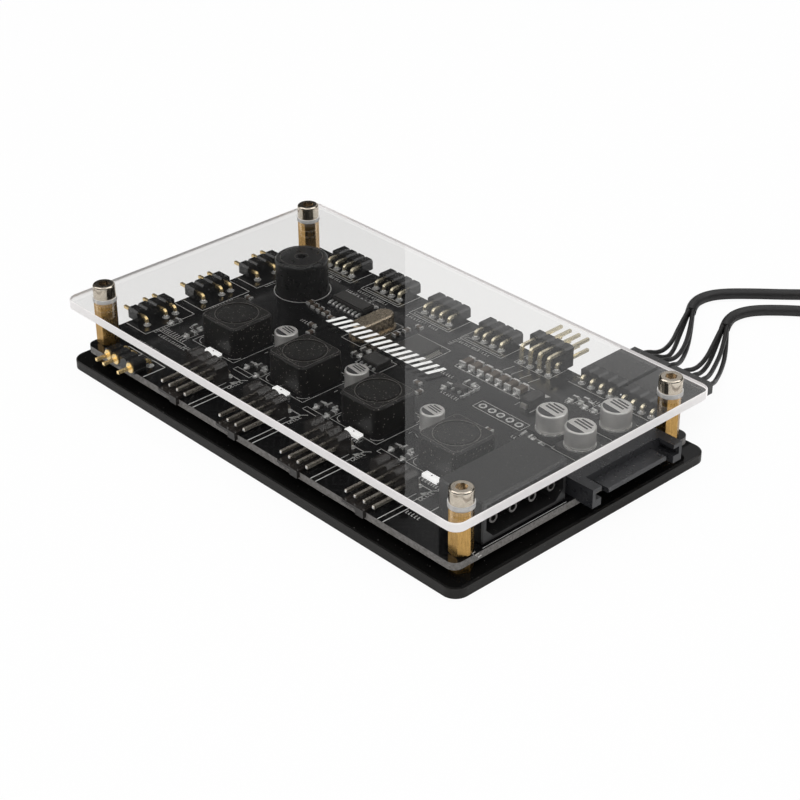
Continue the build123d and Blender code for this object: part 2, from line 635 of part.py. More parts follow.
# Buzzer with a sound hole
with BuildPart() as buzzer:
    with BuildSketch(Plane.XY.offset(board_top)):
        with Locations((buzzer_x, buzzer_y)):
            Circle(buzzer_diameter / 2)
    extrude(amount=buzzer_height)
    fillet(buzzer.edges().sort_by(Axis.Z)[-1], buzzer_round)
    with BuildSketch(Plane.XY.offset(board_top + buzzer_height)):
        with Locations((buzzer_x, buzzer_y)):
            Circle(buzzer_hole / 2)
    extrude(amount=-buzzer_hole_depth, mode=Mode.SUBTRACT)
save(buzzer.part, "buzzer")

# Crystal can with its welded flange
with BuildPart() as crystal:
    flange = 2 * crystal_flange
    with BuildSketch(Plane.XY.offset(board_top)):
        with Locations((crystal_x, crystal_y)):
            SlotOverall(crystal_length, crystal_width, rotation=90)
    extrude(amount=crystal_height)
    fillet(crystal.faces().sort_by(Axis.Z)[-1].edges(), crystal_round)
    with BuildSketch(Plane.XY.offset(board_top)):
        with Locations((crystal_x, crystal_y)):
            SlotOverall(crystal_length + flange, crystal_width + flange, rotation=90)
    extrude(amount=crystal_flange_height)
save(crystal.part, "crystal")


def moulded_chip(x, y, length, width, height, name):
    """Moulded body with a dimple by its first lead."""
    with BuildPart() as chip:
        with BuildSketch(Plane.XY.offset(board_top)):
            with Locations((x, y)):
                Rectangle(length, width)
        extrude(amount=height)
        chamfer(chip.faces().sort_by(Axis.Z)[-1].edges(), chip_corner)
        with BuildSketch(Plane.XY.offset(board_top + height)):
            with Locations((x - length / 2 + chip_mark_inset, y - width / 2 + chip_mark_inset)):
                Circle(chip_mark / 2)
        extrude(amount=-chip_mark_depth, mode=Mode.SUBTRACT)
    save(chip.part, name)


moulded_chip(processor_x, processor_y, processor_size, processor_size, processor_height, "processor")
moulded_chip(driver_x, driver_y, driver_length, driver_width, driver_height, "driver_chip")


def flat_parts(size, places, name):
    """Small flat parts, one closed block each."""
    with BuildPart() as parts:
        with Locations(*[at_edge(*place) for place in places]):
            Box(*size, align=(Align.CENTER, Align.CENTER, Align.MIN))
        chamfer(parts.faces().group_by(Axis.Z)[-1].edges(), chip_edge)
    save(parts.part, name)


# Lamps in front of the coils, and the small flat parts
flat_parts((lamp_length, lamp_width, lamp_height),
           [(x + lamp_shift, lamp_y) for x in row(coil_first, coil_step, coil_count)], "lamps")
flat_parts(chip_capacitor_size,
           [(x, chip_capacitor_y) for x in row(chip_capacitor_first, chip_capacitor_step,
                                               chip_capacitor_count)], "chip_capacitors")
flat_parts(chip_resistor_size,
           [(x + coil_step * i, y, turn) for i in range(coil_count - 1)
            for x, y, turn in chip_resistor_group] + list(chip_resistor_places), "chip_resistors")
flat_parts(transistor_size, [transistor_place], "transistor")
with BuildPart() as diode:
    with Locations(at_edge(*diode_place)):
        Box(*diode_size, align=(Align.CENTER, Align.CENTER, Align.MIN))
        chamfer(diode.faces().sort_by(Axis.Z)[-1].edges(), chip_corner)
        for side in (-1, 1):
            with Locations((0, side * (diode_size[1] + diode_tab[1]) / 2, 0)):
                Box(*diode_tab, align=(Align.CENTER, Align.CENTER, Align.MIN))
save(diode.part, "diode")

# Circuit board, drilled for the posts and for the foot of every pin
with BuildPart() as circuit_board:
    with BuildSketch(Plane.XY.offset(board_bottom)):
        RectangleRounded(board_length, board_width, board_corner)
        with GridLocations(hole_spacing_x, hole_spacing_y, 2, 2):
            Circle(clearance_hole, mode=Mode.SUBTRACT)
        holes = [(x + w, fan_tail) for x in fan_places for w in way_places()]
        holes += [(left_edge + edge_tail, y - w) for y in side_strip_places for w in side_ways]
        holes += [(front_strip_place + w, front_edge + edge_tail) for w in front_ways]
        holes += [(x + w, back_edge - socket_tail) for x in socket_places for w in way_places()]
        holes += [(double_place + w, back_edge - t) for t in double_tails for w in way_places()]
        holes += [(x + w, back_edge - lead_tail) for x in lead_places for w in way_places()]
        with Locations(*holes):
            Circle(pin_hole / 2, mode=Mode.SUBTRACT)
        with Locations(*[(leg_x, y) for y in drive_pin_places]):
            Circle(drive_leg_hole / 2, mode=Mode.SUBTRACT)
    extrude(amount=board_thick)
save(circuit_board.part, "circuit_board")
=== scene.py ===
# %% [markdown]
# # Fan and lighting hub
# A circuit board stands between a glossy black base and a clear cover, on brass posts. The packed
# model gives every shape and position. This script adds finishes, printing, solder and the leads.
#
# ## Load the frame
# Blender starts with objects of its own, so they go first.

# %% Load the frame
import bpy, bmesh, json, math, random
from mathutils import Matrix, Vector

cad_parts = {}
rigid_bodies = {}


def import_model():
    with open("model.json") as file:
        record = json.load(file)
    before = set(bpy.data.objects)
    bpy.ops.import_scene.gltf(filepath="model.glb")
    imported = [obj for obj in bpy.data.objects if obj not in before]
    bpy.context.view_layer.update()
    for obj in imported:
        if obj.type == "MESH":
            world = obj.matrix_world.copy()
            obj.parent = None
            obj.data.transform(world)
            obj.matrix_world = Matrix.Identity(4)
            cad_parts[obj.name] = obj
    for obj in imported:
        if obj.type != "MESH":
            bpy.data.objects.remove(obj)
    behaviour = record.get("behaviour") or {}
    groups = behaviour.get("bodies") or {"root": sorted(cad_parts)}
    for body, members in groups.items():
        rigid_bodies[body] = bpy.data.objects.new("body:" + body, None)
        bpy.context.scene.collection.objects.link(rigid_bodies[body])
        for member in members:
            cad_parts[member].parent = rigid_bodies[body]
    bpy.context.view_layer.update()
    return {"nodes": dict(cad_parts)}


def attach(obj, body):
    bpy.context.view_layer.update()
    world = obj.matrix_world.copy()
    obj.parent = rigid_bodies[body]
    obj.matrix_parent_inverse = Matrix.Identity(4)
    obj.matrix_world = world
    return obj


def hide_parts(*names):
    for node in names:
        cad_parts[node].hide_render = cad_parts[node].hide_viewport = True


for leftover in list(bpy.data.objects):
    bpy.data.objects.remove(leftover)
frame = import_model()

nodes = frame["nodes"]
scene = bpy.context.scene
scene.view_settings.view_transform = "Standard"
scene.view_settings.look = "None"
print("nodes loaded:", len(nodes))

# %% [markdown]
# ## Places
# The drawing is in millimetres with its middle at the origin. Printing, solder and marks belong to
# parts of the model, so the places of those parts are written once and used by every later cell.

# %% Places
MM = 0.001
BOARD_BOTTOM, BOARD_TOP = 3.9, 5.5
COVER_BOTTOM, COVER_TOP = 14.4, 16.4
WAYS = (-3.81, -1.27, 1.27, 3.81)
STRIP_WAYS = (-3.81, -1.27, 3.81)
FAN_X = [-26.5 + 19.0 * i for i in range(4)]
SOCKET_X = [-42.8 + 15.8 * i for i in range(4)]
LEAD_X = (33.2, 44.3)
SIDE_STRIP_Y = (-15.45, 0.0, 15.4)
FRONT_STRIP_X = -43.1
COILS = [(-33.3 + 22.2 * i, -9.4) for i in range(4)]
LAMP_X = [x + 1.1 for x, _ in COILS]
SMALL_CANS = [(22.2 * i, -5.2) for i in (-1, 0, 1)]
LARGE_CANS = [(38.3, 11.8), (46.2, 11.5), (46.0, 22.1)]
BUZZER, PROCESSOR, LONG_CHIP = (-41.8, 15.9), (-3.9, 15.2), (-28.2, 18.9)
DRIVER_CHIP, TRANSISTOR, DIODE = (-5.8, 5.3), (14.1, 10.4), (28.1, 17.1)
SCREW_X, SCREW_Y = 54.0, 28.4
CORNERS = ((1, 1, 0), (-1, 1, 90), (-1, -1, 180), (1, -1, 270))


def pt(x, y, z=0.0):
    """Millimetres of the drawing to metres."""
    return Vector((x * MM, y * MM, z * MM))


print("board top in metres:", pt(0, 0, BOARD_TOP).z)

# %% [markdown]
# ## Camera
# A long lens looks down from above the front right corner, where the photograph was taken. Its
# three directions came from fitting known points of the board to the picture.

# %% Camera
EYE = Vector((265.746, -238.293, 213.822))
FORWARD = Vector((-0.63256, 0.58313, -0.50973)).normalized()
RIGHT = Vector((0.68069, 0.73254, -0.00668)).normalized()
UP = RIGHT.cross(FORWARD)
camera = bpy.data.objects.new("camera", bpy.data.cameras.new("camera"))
scene.collection.objects.link(camera)
camera.data.lens, camera.data.sensor_width = 90.31, 36.0
camera.data.clip_start, camera.data.clip_end = 0.01, 20.0
turn = Matrix((RIGHT, UP, -FORWARD)).transposed().to_4x4()
camera.matrix_world = Matrix.Translation(EYE * MM) @ turn
scene.camera = camera
print("camera distance in metres:", round(EYE.length * MM, 3))

# %% [markdown]
# ## Nodes that read like sums
# A finish is a tree of nodes. Written node by node it hides its own idea, so `N` wraps one output
# and turns `+`, `-` and `*` into Math nodes. Every node of every tree comes from `Tree.node`.

# %% Node trees
class Tree:
    """A node tree, with one method that makes all its nodes."""

    def __init__(self, tree):
        self.tree = tree

    def feed(self, slot, value):
        """Give an input socket a link, a colour or a plain value."""
        if isinstance(value, N):
            self.tree.links.new(value.socket, slot)
        elif slot.type == "RGBA" and len(value) == 3:
            slot.default_value = (*value, 1.0)
        else:
            slot.default_value = value

    def node(self, kind, settings=None, sockets=None, out=0):
        """Make a node: its settings first, then its sockets. The wrapped output comes back."""
        made = self.tree.nodes.new(kind)
        for name, value in (settings or {}).items():
            setattr(made, name, value)
        for key, value in (sockets or {}).items():
            self.feed(made.inputs[key], value)
        return N(self, made.outputs[out]) if len(made.outputs) else None


class N:
    """One output of a node, with arithmetic."""

    def __init__(self, tree, socket):
        self.tree, self.socket = tree, socket

    def out(self, name):
        """Another output of the same node."""
        return N(self.tree, self.socket.node.outputs[name])

    def maths(self, kind, *others, clamp=False):
        return self.tree.node("ShaderNodeMath", {"operation": kind, "use_clamp": clamp},
                              dict(enumerate((self, *others))))

    def __add__(self, other):
        return self.maths("ADD", other)

    def __sub__(self, other):
        return self.maths("SUBTRACT", other)

    def __mul__(self, other):
        return self.maths("MULTIPLY", other)

    def __rsub__(self, other):
        return (self * -1.0) + other

    __radd__, __rmul__ = __add__, __mul__

    def over(self, edge):
        return self.maths("GREATER_THAN", edge)

    def under(self, edge):
        return self.maths("LESS_THAN", edge)

    def band(self, low, high):
        """Straight slope from 0 at low to 1 at high."""
        return ((self - low) * (1.0 / (high - low))).maths("ADD", 0.0, clamp=True)

    def mix(self, a, b):
        """Colour a where this is 0 and colour b where it is 1."""
        return self.tree.node("ShaderNodeMix", {"data_type": "RGBA"}, {0: self, 6: a, 7: b}, 2)


print("methods of N:", [name for name in vars(N) if not name.startswith("__")])

# %% [markdown]
# ## A finish
# Real surfaces vary: grain, dust and wear. The patterns read Object coordinates in millimetres, so
# they keep their true size and stay with the part from every side.

# %% Finish class
class Finish(Tree):
    """A principled material with helpers for patterns in millimetres."""

    def __init__(self, name, base, roughness, metallic=0.0, **values):
        self.material = bpy.data.materials.new(name)
        self.material.use_nodes = True
        self.material.diffuse_color = (*base, 1.0)
        super().__init__(self.material.node_tree)
        self.shader = self.tree.nodes["Principled BSDF"]
        self.plain = N(self, self.shader.outputs[0])
        self.set("Base Color", base)
        self.set("Roughness", roughness)
        self.set("Metallic", metallic)
        for key, value in values.items():
            self.set(key.replace("_", " "), value)

    def set(self, name, value):
        self.feed(self.shader.inputs[name], value)

    def surface(self, shader):
        """Send a shader to the material's output."""
        self.feed(self.tree.nodes["Material Output"].inputs["Surface"], shader)

    def place(self, stretch=(1.0, 1.0, 1.0)):
        """Object coordinates in millimetres, times a stretch along each axis."""
        coords = self.node("ShaderNodeTexCoord", out="Object")
        scale = tuple(1000.0 * share for share in stretch)
        return self.node("ShaderNodeMapping", {}, {"Vector": coords, "Scale": scale})

    def upward(self):
        """Upward share of the surface direction, from -1 to 1."""
        normal = self.node("ShaderNodeNewGeometry", out="Normal")
        return self.node("ShaderNodeSeparateXYZ", {}, {"Vector": normal}, "Z")

    def noise(self, scale, detail=3.0, rough=0.5, stretch=(1.0, 1.0, 1.0)):
        return self.node("ShaderNodeTexNoise", {}, {"Vector": self.place(stretch), "Scale": scale,
                                                    "Detail": detail, "Roughness": rough})

    def specks(self, scale, size, share):
        """Sparse round dots: some Voronoi cells are picked, and each has a dot at its middle."""
        cell = self.node("ShaderNodeTexVoronoi", {}, {"Vector": self.place(), "Scale": scale})
        picked = self.node("ShaderNodeSeparateColor", {}, {0: cell.out("Color")}).under(share)
        return cell.out("Distance").under(size) * picked

    def bump(self, height, distance, strength):
        self.set("Normal", self.node("ShaderNodeBump", {}, {"Height": height, "Distance": distance,
                                                            "Strength": strength}))
        return self


def shaded(colour, factor, top=1.0):
    """A colour made darker or paler by a factor, but no brighter than top."""
    return tuple(min(factor * channel, top) for channel in colour)


print("patterns of a finish:", [name for name in vars(Finish) if not name.startswith("_")])

# %% [markdown]
# ## Rubber of the leads
# Wire insulation and cable jacket are soft black plastic: dull, with a faint uneven grain that
# catches the light. One function makes both, because only colour and gloss differ.

# %% Wire and cable finishes
def rubber(name, base, roughness):
    """Soft black plastic with a slightly uneven, grained skin."""
    made = Finish(name, base, roughness, Specular_IOR_Level=0.45)
    grain = made.noise(9.0, 2.0)
    made.set("Roughness", grain * 0.2 + (roughness - 0.1))
    made.set("Base Color", grain.band(0.3, 0.75).mix(base, shaded(base, 1.6)))
    return made.bump(made.noise(25.0, 2.0), 0.00002, 0.5).material


wire_finish = rubber("wire_insulation", (0.011, 0.0105, 0.0105), 0.42)
cable_finish = rubber("cable_jacket", (0.014, 0.0135, 0.0135), 0.5)
print("lead finishes:", wire_finish.name, cable_finish.name)

# %% [markdown]
# ## Routes of the leads
# Each plug holds four thin wires. They sag to the desk, swing away and run into a round cable. A
# wire's route is a list of points. A cable's is a walk on the desk: turn a little, go a little.

# %% Routes of the leads
WIRE_ROUTES = (
    (((29.4, 54.9, 4.2), (26.6, 62.2, 2.7), (22.0, 70.2, 1.95)),
     ((31.4, 54.8, 3.9), (27.9, 61.3, 1.5), (22.7, 69.9, 0.65)),
     ((33.4, 54.8, 4.3), (30.0, 62.2, 2.7), (24.7, 70.7, 1.95)),
     ((34.9, 54.7, 3.8), (30.4, 62.3, 1.4), (25.2, 70.3, 0.65))),
    (((39.2, 54.8, 4.3), (36.3, 61.9, 2.7), (32.3, 69.5, 1.95)),
     ((40.6, 54.9, 3.8), (36.8, 62.3, 1.5), (32.6, 69.8, 0.65)),
     ((43.0, 54.7, 4.2), (39.3, 61.5, 2.7), (35.0, 69.3, 1.95)),
     ((44.6, 54.9, 3.6), (40.0, 62.8, 1.3), (35.1, 70.5, 0.65))),
)
WIRE_START_Y, WIRE_STRAIGHT_Y, PLUG_LEVEL = 44.9, 49.4, 6.8
CABLE_STARTS, CABLE_HEADINGS = ((18.6, 78.2), (28.6, 77.9)), (124.0, 120.0)
CABLE_LEVEL, BUNDLE, OVERLAP = 1.25, 0.51, 0.04
CABLE_RUNS = (
    ((0, 4.0), (-27, 4.3), (-27, 4.3), (-22, 6.5), (-5, 10.5), (5, 9.5), (-24, 8.5),
     (-26, 8.5), (-26, 8.5), (-19, 8.0), (-6, 8.0), (7, 7.0)),
    ((0, 4.0), (-26, 4.2), (-26, 4.2), (-21, 6.0), (-7, 7.0), (-26, 5.5), (-30, 5.5),
     (-29, 5.5), (-12, 6.0), (7, 6.0)),
)


def along(x, y, angle, reach):
    """The point at a reach from x, y in the direction of an angle."""
    return x + reach * math.cos(math.radians(angle)), y + reach * math.sin(math.radians(angle))


def walk(start, heading, runs):
    """Control points of a cable that turns and goes on, run by run."""
    points = [start]
    for swing, length in runs:
        heading += swing
        x, y, level = points[-1]
        points.append((*along(x, y, heading, length), level))
    return points


def wire_end(mouth, heading, number):
    """Where one of four wires enters the mouth of its cable, two above and two below."""
    x, y, level = mouth
    side = -BUNDLE if number < 2 else BUNDLE
    lift = BUNDLE if number % 2 == 0 else -BUNDLE
    x, y = along(x, y, heading - 90.0, side)
    return (*along(x, y, heading, -OVERLAP), level + lift)


print("cable control points:", [len(runs) + 1 for runs in CABLE_RUNS])

# %% [markdown]
# ## Leads
# A lead is a round section swept along a smooth line. A NURBS curve with a bevel does this with few
# points, and each length is measured on the same curve.

# %% Leads
def cord_curve(name, points, diameter, material):
    """Round cord on one smooth NURBS line through the route's control points."""
    data = bpy.data.curves.new(name, "CURVE")
    data.dimensions, data.resolution_u = "3D", 10
    data.bevel_depth, data.bevel_resolution = diameter * MM / 2, 5
    data.use_fill_caps = True
    line = data.splines.new("NURBS")
    line.points.add(len(points) - 1)
    for slot, point in zip(line.points, points):
        slot.co = (*pt(*point), 1.0)
    line.order_u, line.use_endpoint_u = 3, True
    data.materials.append(material)
    obj = bpy.data.objects.new(name, data)
    scene.collection.objects.link(obj)
    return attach(obj, "root")


def curve_length(obj):
    """Length of a cord's middle line in metres, measured on a copy without its section."""
    bare = obj.data.copy()
    bare.bevel_depth = 0.0
    probe = bpy.data.objects.new("probe", bare)
    scene.collection.objects.link(probe)
    bpy.context.view_layer.update()
    mesh = bpy.data.meshes.new_from_object(probe.evaluated_get(bpy.context.evaluated_depsgraph_get()))
    spots = [v.co.copy() for v in mesh.vertices]
    bpy.data.objects.remove(probe)
    bpy.data.meshes.remove(mesh)
    bpy.data.curves.remove(bare)
    return sum((b - a).length for a, b in zip(spots, spots[1:]))


for lead, side in enumerate("ab"):
    mouth, heading = (*CABLE_STARTS[lead], CABLE_LEVEL), CABLE_HEADINGS[lead]
    cable = cord_curve(f"cable_line_{side}", walk(mouth, heading, CABLE_RUNS[lead]), 2.5, cable_finish)
    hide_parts(f"cable_{side}")
    wires = []
    for number, way in enumerate(WAYS):
        x = LEAD_X[lead] + way
        points = [(x, WIRE_START_Y, PLUG_LEVEL), (x, WIRE_STRAIGHT_Y, PLUG_LEVEL),
                  *WIRE_ROUTES[lead][number], wire_end(mouth, heading, number)]
        wire = cord_curve(f"wire_line_{side}{number + 1}", points, 1.0, wire_finish)
        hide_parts(f"wire_{side}{number + 1}")
        wires.append((wire, points[0]))
    pt(*mouth)
    curve_length(cable)
    for number, (wire, start) in enumerate(wires):
        pt(*start)
        curve_length(wire)
        [nodes[f"lead_plug_{side}"]] if number == 0 else []
    print(f"lead {side}: cable {curve_length(cable) / MM:.1f} mm, {len(wires)} wires")

# %% [markdown]
# ## Base plate
# A sheet of glossy black acrylic. Its faces mirror the room, its sawn edges are duller and a little
# paler, and dust lies on it. The direction of the surface tells edge from face.

# %% Base plate
base_finish = Finish("base_acrylic", (0.005, 0.0048, 0.0047), 0.07, IOR=1.36)
side_face = base_finish.upward().maths("ABSOLUTE").under(0.9)
dust = base_finish.specks(0.55, 0.06, 0.6) + base_finish.specks(1.3, 0.08, 0.25)
base_colour = side_face.mix((0.0035, 0.0034, 0.0033), (0.010, 0.009, 0.008))
base_finish.set("Base Color", dust.mix(base_colour, (0.10, 0.095, 0.09)))
haze = base_finish.noise(0.05, 2.0) * 0.05
base_finish.set("Roughness", side_face * 0.3 + dust * 0.5 + haze + 0.05)
print("base plate nodes:", len(base_finish.tree.nodes))

# %% [markdown]
# ## Clear cover
# Clear acrylic is glass-like on its faces, while cut edges and drilled holes are frosted and carry
# light that travels inside the sheet. A faint painted glow, brightest in the holes and along the far
# edge, stands for that light. Shadow rays pass through, so that the board below is lit.

# %% Clear cover
cover_finish = Finish("cover_acrylic", (0.93, 0.925, 0.915), 0.0, IOR=1.49, Transmission_Weight=1.0)
spot = cover_finish.node("ShaderNodeSeparateXYZ", {}, {"Vector": cover_finish.place()})
from_x = spot.out("X").maths("ABSOLUTE") - SCREW_X
from_y = spot.out("Y").maths("ABSOLUTE") - SCREW_Y
HOLE_REACH, FAR_EDGE_Y = 2.6, 33.0
in_hole = (from_x * from_x + from_y * from_y).under(HOLE_REACH ** 2)
edge_glow = spot.out("Y").over(FAR_EDGE_Y).mix((0.17, 0.165, 0.163), (0.40, 0.385, 0.385))
# Frosted cut faces with a painted glow: emission brightest in the holes and at the far edge.
frost_and_painted_glow = cover_finish.node("ShaderNodeBsdfPrincipled", {}, {
    "Base Color": (0.74, 0.72, 0.715), "Roughness": 0.35, "IOR": 1.49, "Transmission Weight": 0.25,
    "Emission Color": in_hole.mix(edge_glow, (0.62, 0.60, 0.59)), "Emission Strength": 1.0})
cut_face = cover_finish.upward().maths("ABSOLUTE").under(0.95)
solid_cover = cover_finish.node("ShaderNodeMixShader", {}, {0: cut_face, 1: cover_finish.plain, 2: frost_and_painted_glow})
see_through = cover_finish.node("ShaderNodeBsdfTransparent", {}, {"Color": (0.9, 0.9, 0.895)})
shadow_ray = cover_finish.node("ShaderNodeLightPath", out="Is Shadow Ray")
cover_finish.surface(cover_finish.node("ShaderNodeMixShader", {},
                                       {0: shadow_ray, 1: solid_cover, 2: see_through}))
print("clear cover nodes:", len(cover_finish.tree.nodes))

# %% [markdown]
# ## Circuit board
# Black lacquer lies over the copper. Tracks show as faint angular lines, holes between layers as
# small pale dots, and the sawn rim shows the glass fibre. Cells measured in city blocks give lines
# with corners, as on a routed board.

# %% Circuit board
board_finish = Finish("board_mask", (0.006, 0.006, 0.0062), 0.2, IOR=1.42)
top_face = board_finish.upward().over(0.9)
rim = board_finish.upward().maths("ABSOLUTE").under(0.5)
blocks = board_finish.node("ShaderNodeTexVoronoi", {"distance": "MANHATTAN"},
                           {"Vector": board_finish.place(), "Scale": 0.22})
tracks = (blocks.out("Distance") * 15.0).maths("SINE").band(0.55, 0.75)
vias = board_finish.specks(0.42, 0.075, 0.3)
fibre = board_finish.noise(2.2, 4.0, 0.7).band(0.35, 0.7)
lacquer = (tracks * 0.5).mix((0.0028, 0.0028, 0.003), (0.009, 0.009, 0.0095))
lacquer = (vias * top_face).mix(lacquer, (0.055, 0.054, 0.05))
sawn = fibre.mix((0.10, 0.094, 0.088), (0.27, 0.258, 0.248))
board_finish.set("Base Color", rim.mix(lacquer, sawn))
board_finish.set("Roughness", rim * 0.45 + tracks * 0.05 + 0.11)
print("board nodes:", len(board_finish.tree.nodes))

# %% [markdown]
# ## Metals
# Posts are turned, pins are drawn and plated, cans are pressed. All show fine streaks and dull
# patches, so one function makes them, with its own colour, gloss and streaks for each.

# %% Metals
EVEN = (1.0, 1.0, 1.0)


def metal(name, base, roughness, streaks=(1.0, 1.0, 0.06), scale=3.0, depth=0.00002, dirt=0.35,
          metallic=1.0):
    """Turned, drawn or plated metal: streaks along one direction and dull patches."""
    made = Finish(name, base, roughness, metallic)
    line = made.noise(scale, 4.0, 0.6, streaks)
    dull = made.noise(0.7, 3.0).band(0.45, 0.75)
    made.set("Base Color", (line.band(0.3, 0.7) * dirt + dull * 0.15).mix(base, shaded(base, 0.35)))
    made.set("Roughness", line * 0.18 + dull * 0.12 + (roughness - 0.08))
    return made.bump(line, depth, 0.6).material


brass = metal("turned_brass", (0.61, 0.37, 0.125), 0.24, scale=5.0, dirt=0.5)
nickel = metal("bright_nickel", (0.77, 0.69, 0.58), 0.12, scale=2.0, depth=0.000005, dirt=0.15)
steel = metal("dark_steel", (0.32, 0.31, 0.30), 0.3)
gold = metal("gold_plate", (0.95, 0.72, 0.36), 0.2, EVEN, 1.5, 0.000003, 0.1, 0.85)
fan_pin = metal("fan_pin_metal", (0.50, 0.46, 0.40), 0.26, EVEN, 2.0, 0.000001, 0.08, 0.95)
# The drive connector's contacts get a dark colour as painted shade.
drive_pin_shaded = metal("drive_pin_painted_shade", (0.17, 0.165, 0.16), 0.34, EVEN, 2.0, 0.000002, 0.2, 0.97)
pale_gold = metal("pale_gold", (0.95, 0.86, 0.64), 0.22, EVEN, 1.5, 0.000003, 0.1, 0.85)
tin = metal("tinned_pin", (0.80, 0.78, 0.74), 0.3, EVEN, 2.0, 0.000005, 0.15, 0.7)
solder = metal("solder", (0.90, 0.90, 0.89), 0.25, EVEN, 1.2, 0.00003, 0.1, 0.6)
can_metal = metal("can_aluminium", (0.93, 0.915, 0.895), 0.32, (1, 1, 8), 1.0, 0.000008, 0.08, 0.55)
crystal_metal = metal("crystal_case", (0.46, 0.385, 0.29), 0.24, EVEN, 0.3, 0.000001, 0.2, 0.92)
can_rim = metal("can_rim", (0.95, 0.94, 0.92), 0.25, EVEN, 1.0, 0.000004, 0.05, 0.5)
copper = metal("contact_copper", (0.72, 0.50, 0.26), 0.25, EVEN, 1.5, 0.000005, 0.3)
print("brightest metal channel:", round(max(solder.diffuse_color[:3]), 2))

# %% [markdown]
# ## Plastics
# Headers, plugs and cases are moulded. Glossy ones mirror the lamps, textured ones look greyer, and
# lint clings to them. The small ceramic parts have the same kind of skin, so they share the function.

# %% Plastics
LINT = (0.22, 0.21, 0.2)


def plastic(name, base, roughness, grain=6.0, depth=0.00001, lint_share=0.06, wear=1.8):
    """Moulded plastic: slight mottling, fine grain and a few specks of lint."""
    made = Finish(name, base, roughness, IOR=1.5)
    mottle = made.noise(0.8, 3.0).band(0.3, 0.75)
    lint = made.specks(0.8, 0.1, 4 * lint_share) + made.specks(1.7, 0.14, 3 * lint_share)
    made.set("Base Color", lint.mix(mottle.mix(base, shaded(base, wear, 0.9)), LINT))
    made.set("Roughness", mottle * 0.12 + lint * 0.3 + (roughness - 0.05))
    return made.bump(made.noise(grain, 2.0), depth, 0.5).material


header_black = plastic("header_plastic", (0.008, 0.0078, 0.0078), 0.15, 5.0, 0.000002, 0.01, 1.15)
fan_black = plastic("fan_header_plastic", (0.013, 0.011, 0.010), 0.16, 5.0, 0.000002, 0.015, 1.2)
plug_black = plastic("plug_plastic", (0.027, 0.0268, 0.0268), 0.42, 9.0, 0.00003, 0.14)
drive_black = plastic("drive_plastic", (0.010, 0.0098, 0.010), 0.33, 5.0, 0.000005, 0.08, 1.4)
flat_black = plastic("flat_plastic", (0.021, 0.0214, 0.0235), 0.3, 3.0, 0.000001, 0.015, 1.1)
can_base_black = plastic("can_base_plastic", (0.014, 0.014, 0.014), 0.35)
buzzer_black = plastic("buzzer_plastic", (0.008, 0.008, 0.0082), 0.3, 6.0, 0.00001, 0.12)
chip_black = plastic("chip_resin", (0.030, 0.029, 0.028), 0.45, 10.0, 0.00002, 0.1)
ceramic_tan = plastic("ceramic_tan", (0.10, 0.075, 0.055), 0.4, 6.0, 0.00001, 0.0, 1.5)
ceramic_black = plastic("resistor_black", (0.022, 0.021, 0.02), 0.35, 6.0, 0.00001, 0.05)
lamp_white = plastic("lamp_lens", (0.88, 0.88, 0.86), 0.3, 4.0, 0.00001, 0.0, 1.05)
lens = lamp_white.node_tree.nodes["Principled BSDF"]
lens.inputs["Emission Color"].default_value = (1.0, 1.0, 1.0, 1.0)
lens.inputs["Emission Strength"].default_value = 0.8
print("lamp glow:", round(lens.inputs["Emission Strength"].default_value, 2))

# %% [markdown]
# ## Coils
# The coils are pressed from iron powder and resin: nearly black, cast in uneven patches, with pale
# flakes. Two noises and two sizes of speck give both.

# %% Coils
coil_finish = Finish("coil_ferrite", (0.016, 0.0155, 0.015), 0.42, IOR=1.4)
flakes = coil_finish.specks(0.9, 0.14, 0.7) + coil_finish.specks(1.9, 0.2, 0.5)
cast = coil_finish.noise(0.55, 5.0, 0.6).band(0.35, 0.7)
powder = cast.mix((0.0045, 0.0044, 0.0043), (0.014, 0.0128, 0.012))
coil_finish.set("Base Color", flakes.mix(powder, (0.26, 0.24, 0.22)))
coil_finish.set("Roughness", cast * 0.2 + 0.30)
coil_finish.bump(coil_finish.noise(3.0, 4.0, 0.7), 0.00008, 0.6)
print("coil nodes:", len(coil_finish.tree.nodes))

# %% [markdown]
# ## Assign the finishes
# Each node of the model is made of one material on the real object, so one table says which. The
# names come from the model, and the count shows whether any node was missed.

# %% Assign the finishes
FINISHES = {
    base_finish.material: ["base_plate"],
    cover_finish.material: ["clear_cover"],
    board_finish.material: ["circuit_board"],
    brass: ["cover_posts", "board_spacers"],
    nickel: ["cover_screws"],
    steel: ["base_screws"],
    gold: ["side_strip_pins", "front_strip_pins"],
    pale_gold: ["back_socket_pins", "lead_header_pins", "double_header_pins"],
    fan_pin: [f"fan_pins_{i}" for i in (1, 2, 3, 4)],
    drive_pin_shaded: ["drive_connector_pins"],
    copper: ["flat_connector_contacts"],
    fan_black: [f"fan_header_{i}" for i in (1, 2, 3, 4)],
    header_black: ["side_strips", "front_strip", "back_sockets", "double_header", "lead_headers"],
    plug_black: ["lead_plug_a", "lead_plug_b", "lead_end_a", "lead_end_b"],
    drive_black: ["drive_connector"],
    flat_black: ["flat_connector"],
    can_base_black: ["small_can_bases", "large_can_bases"],
    can_metal: ["small_cans", "large_cans"],
    buzzer_black: ["buzzer"],
    crystal_metal: ["crystal"],
    chip_black: ["processor", "driver_chip", "transistor", "diode"],
    lamp_white: ["lamps"],
    ceramic_tan: ["chip_capacitors"],
    ceramic_black: ["chip_resistors"],
    coil_finish.material: [f"coil_{i}" for i in (1, 2, 3, 4)],
}
for material, names in FINISHES.items():
    for name in names:
        data = nodes[name].data
        data.materials.clear()
        data.materials.append(material)
print("finished nodes:", sum(len(names) for names in FINISHES.values()), "of", len(nodes))
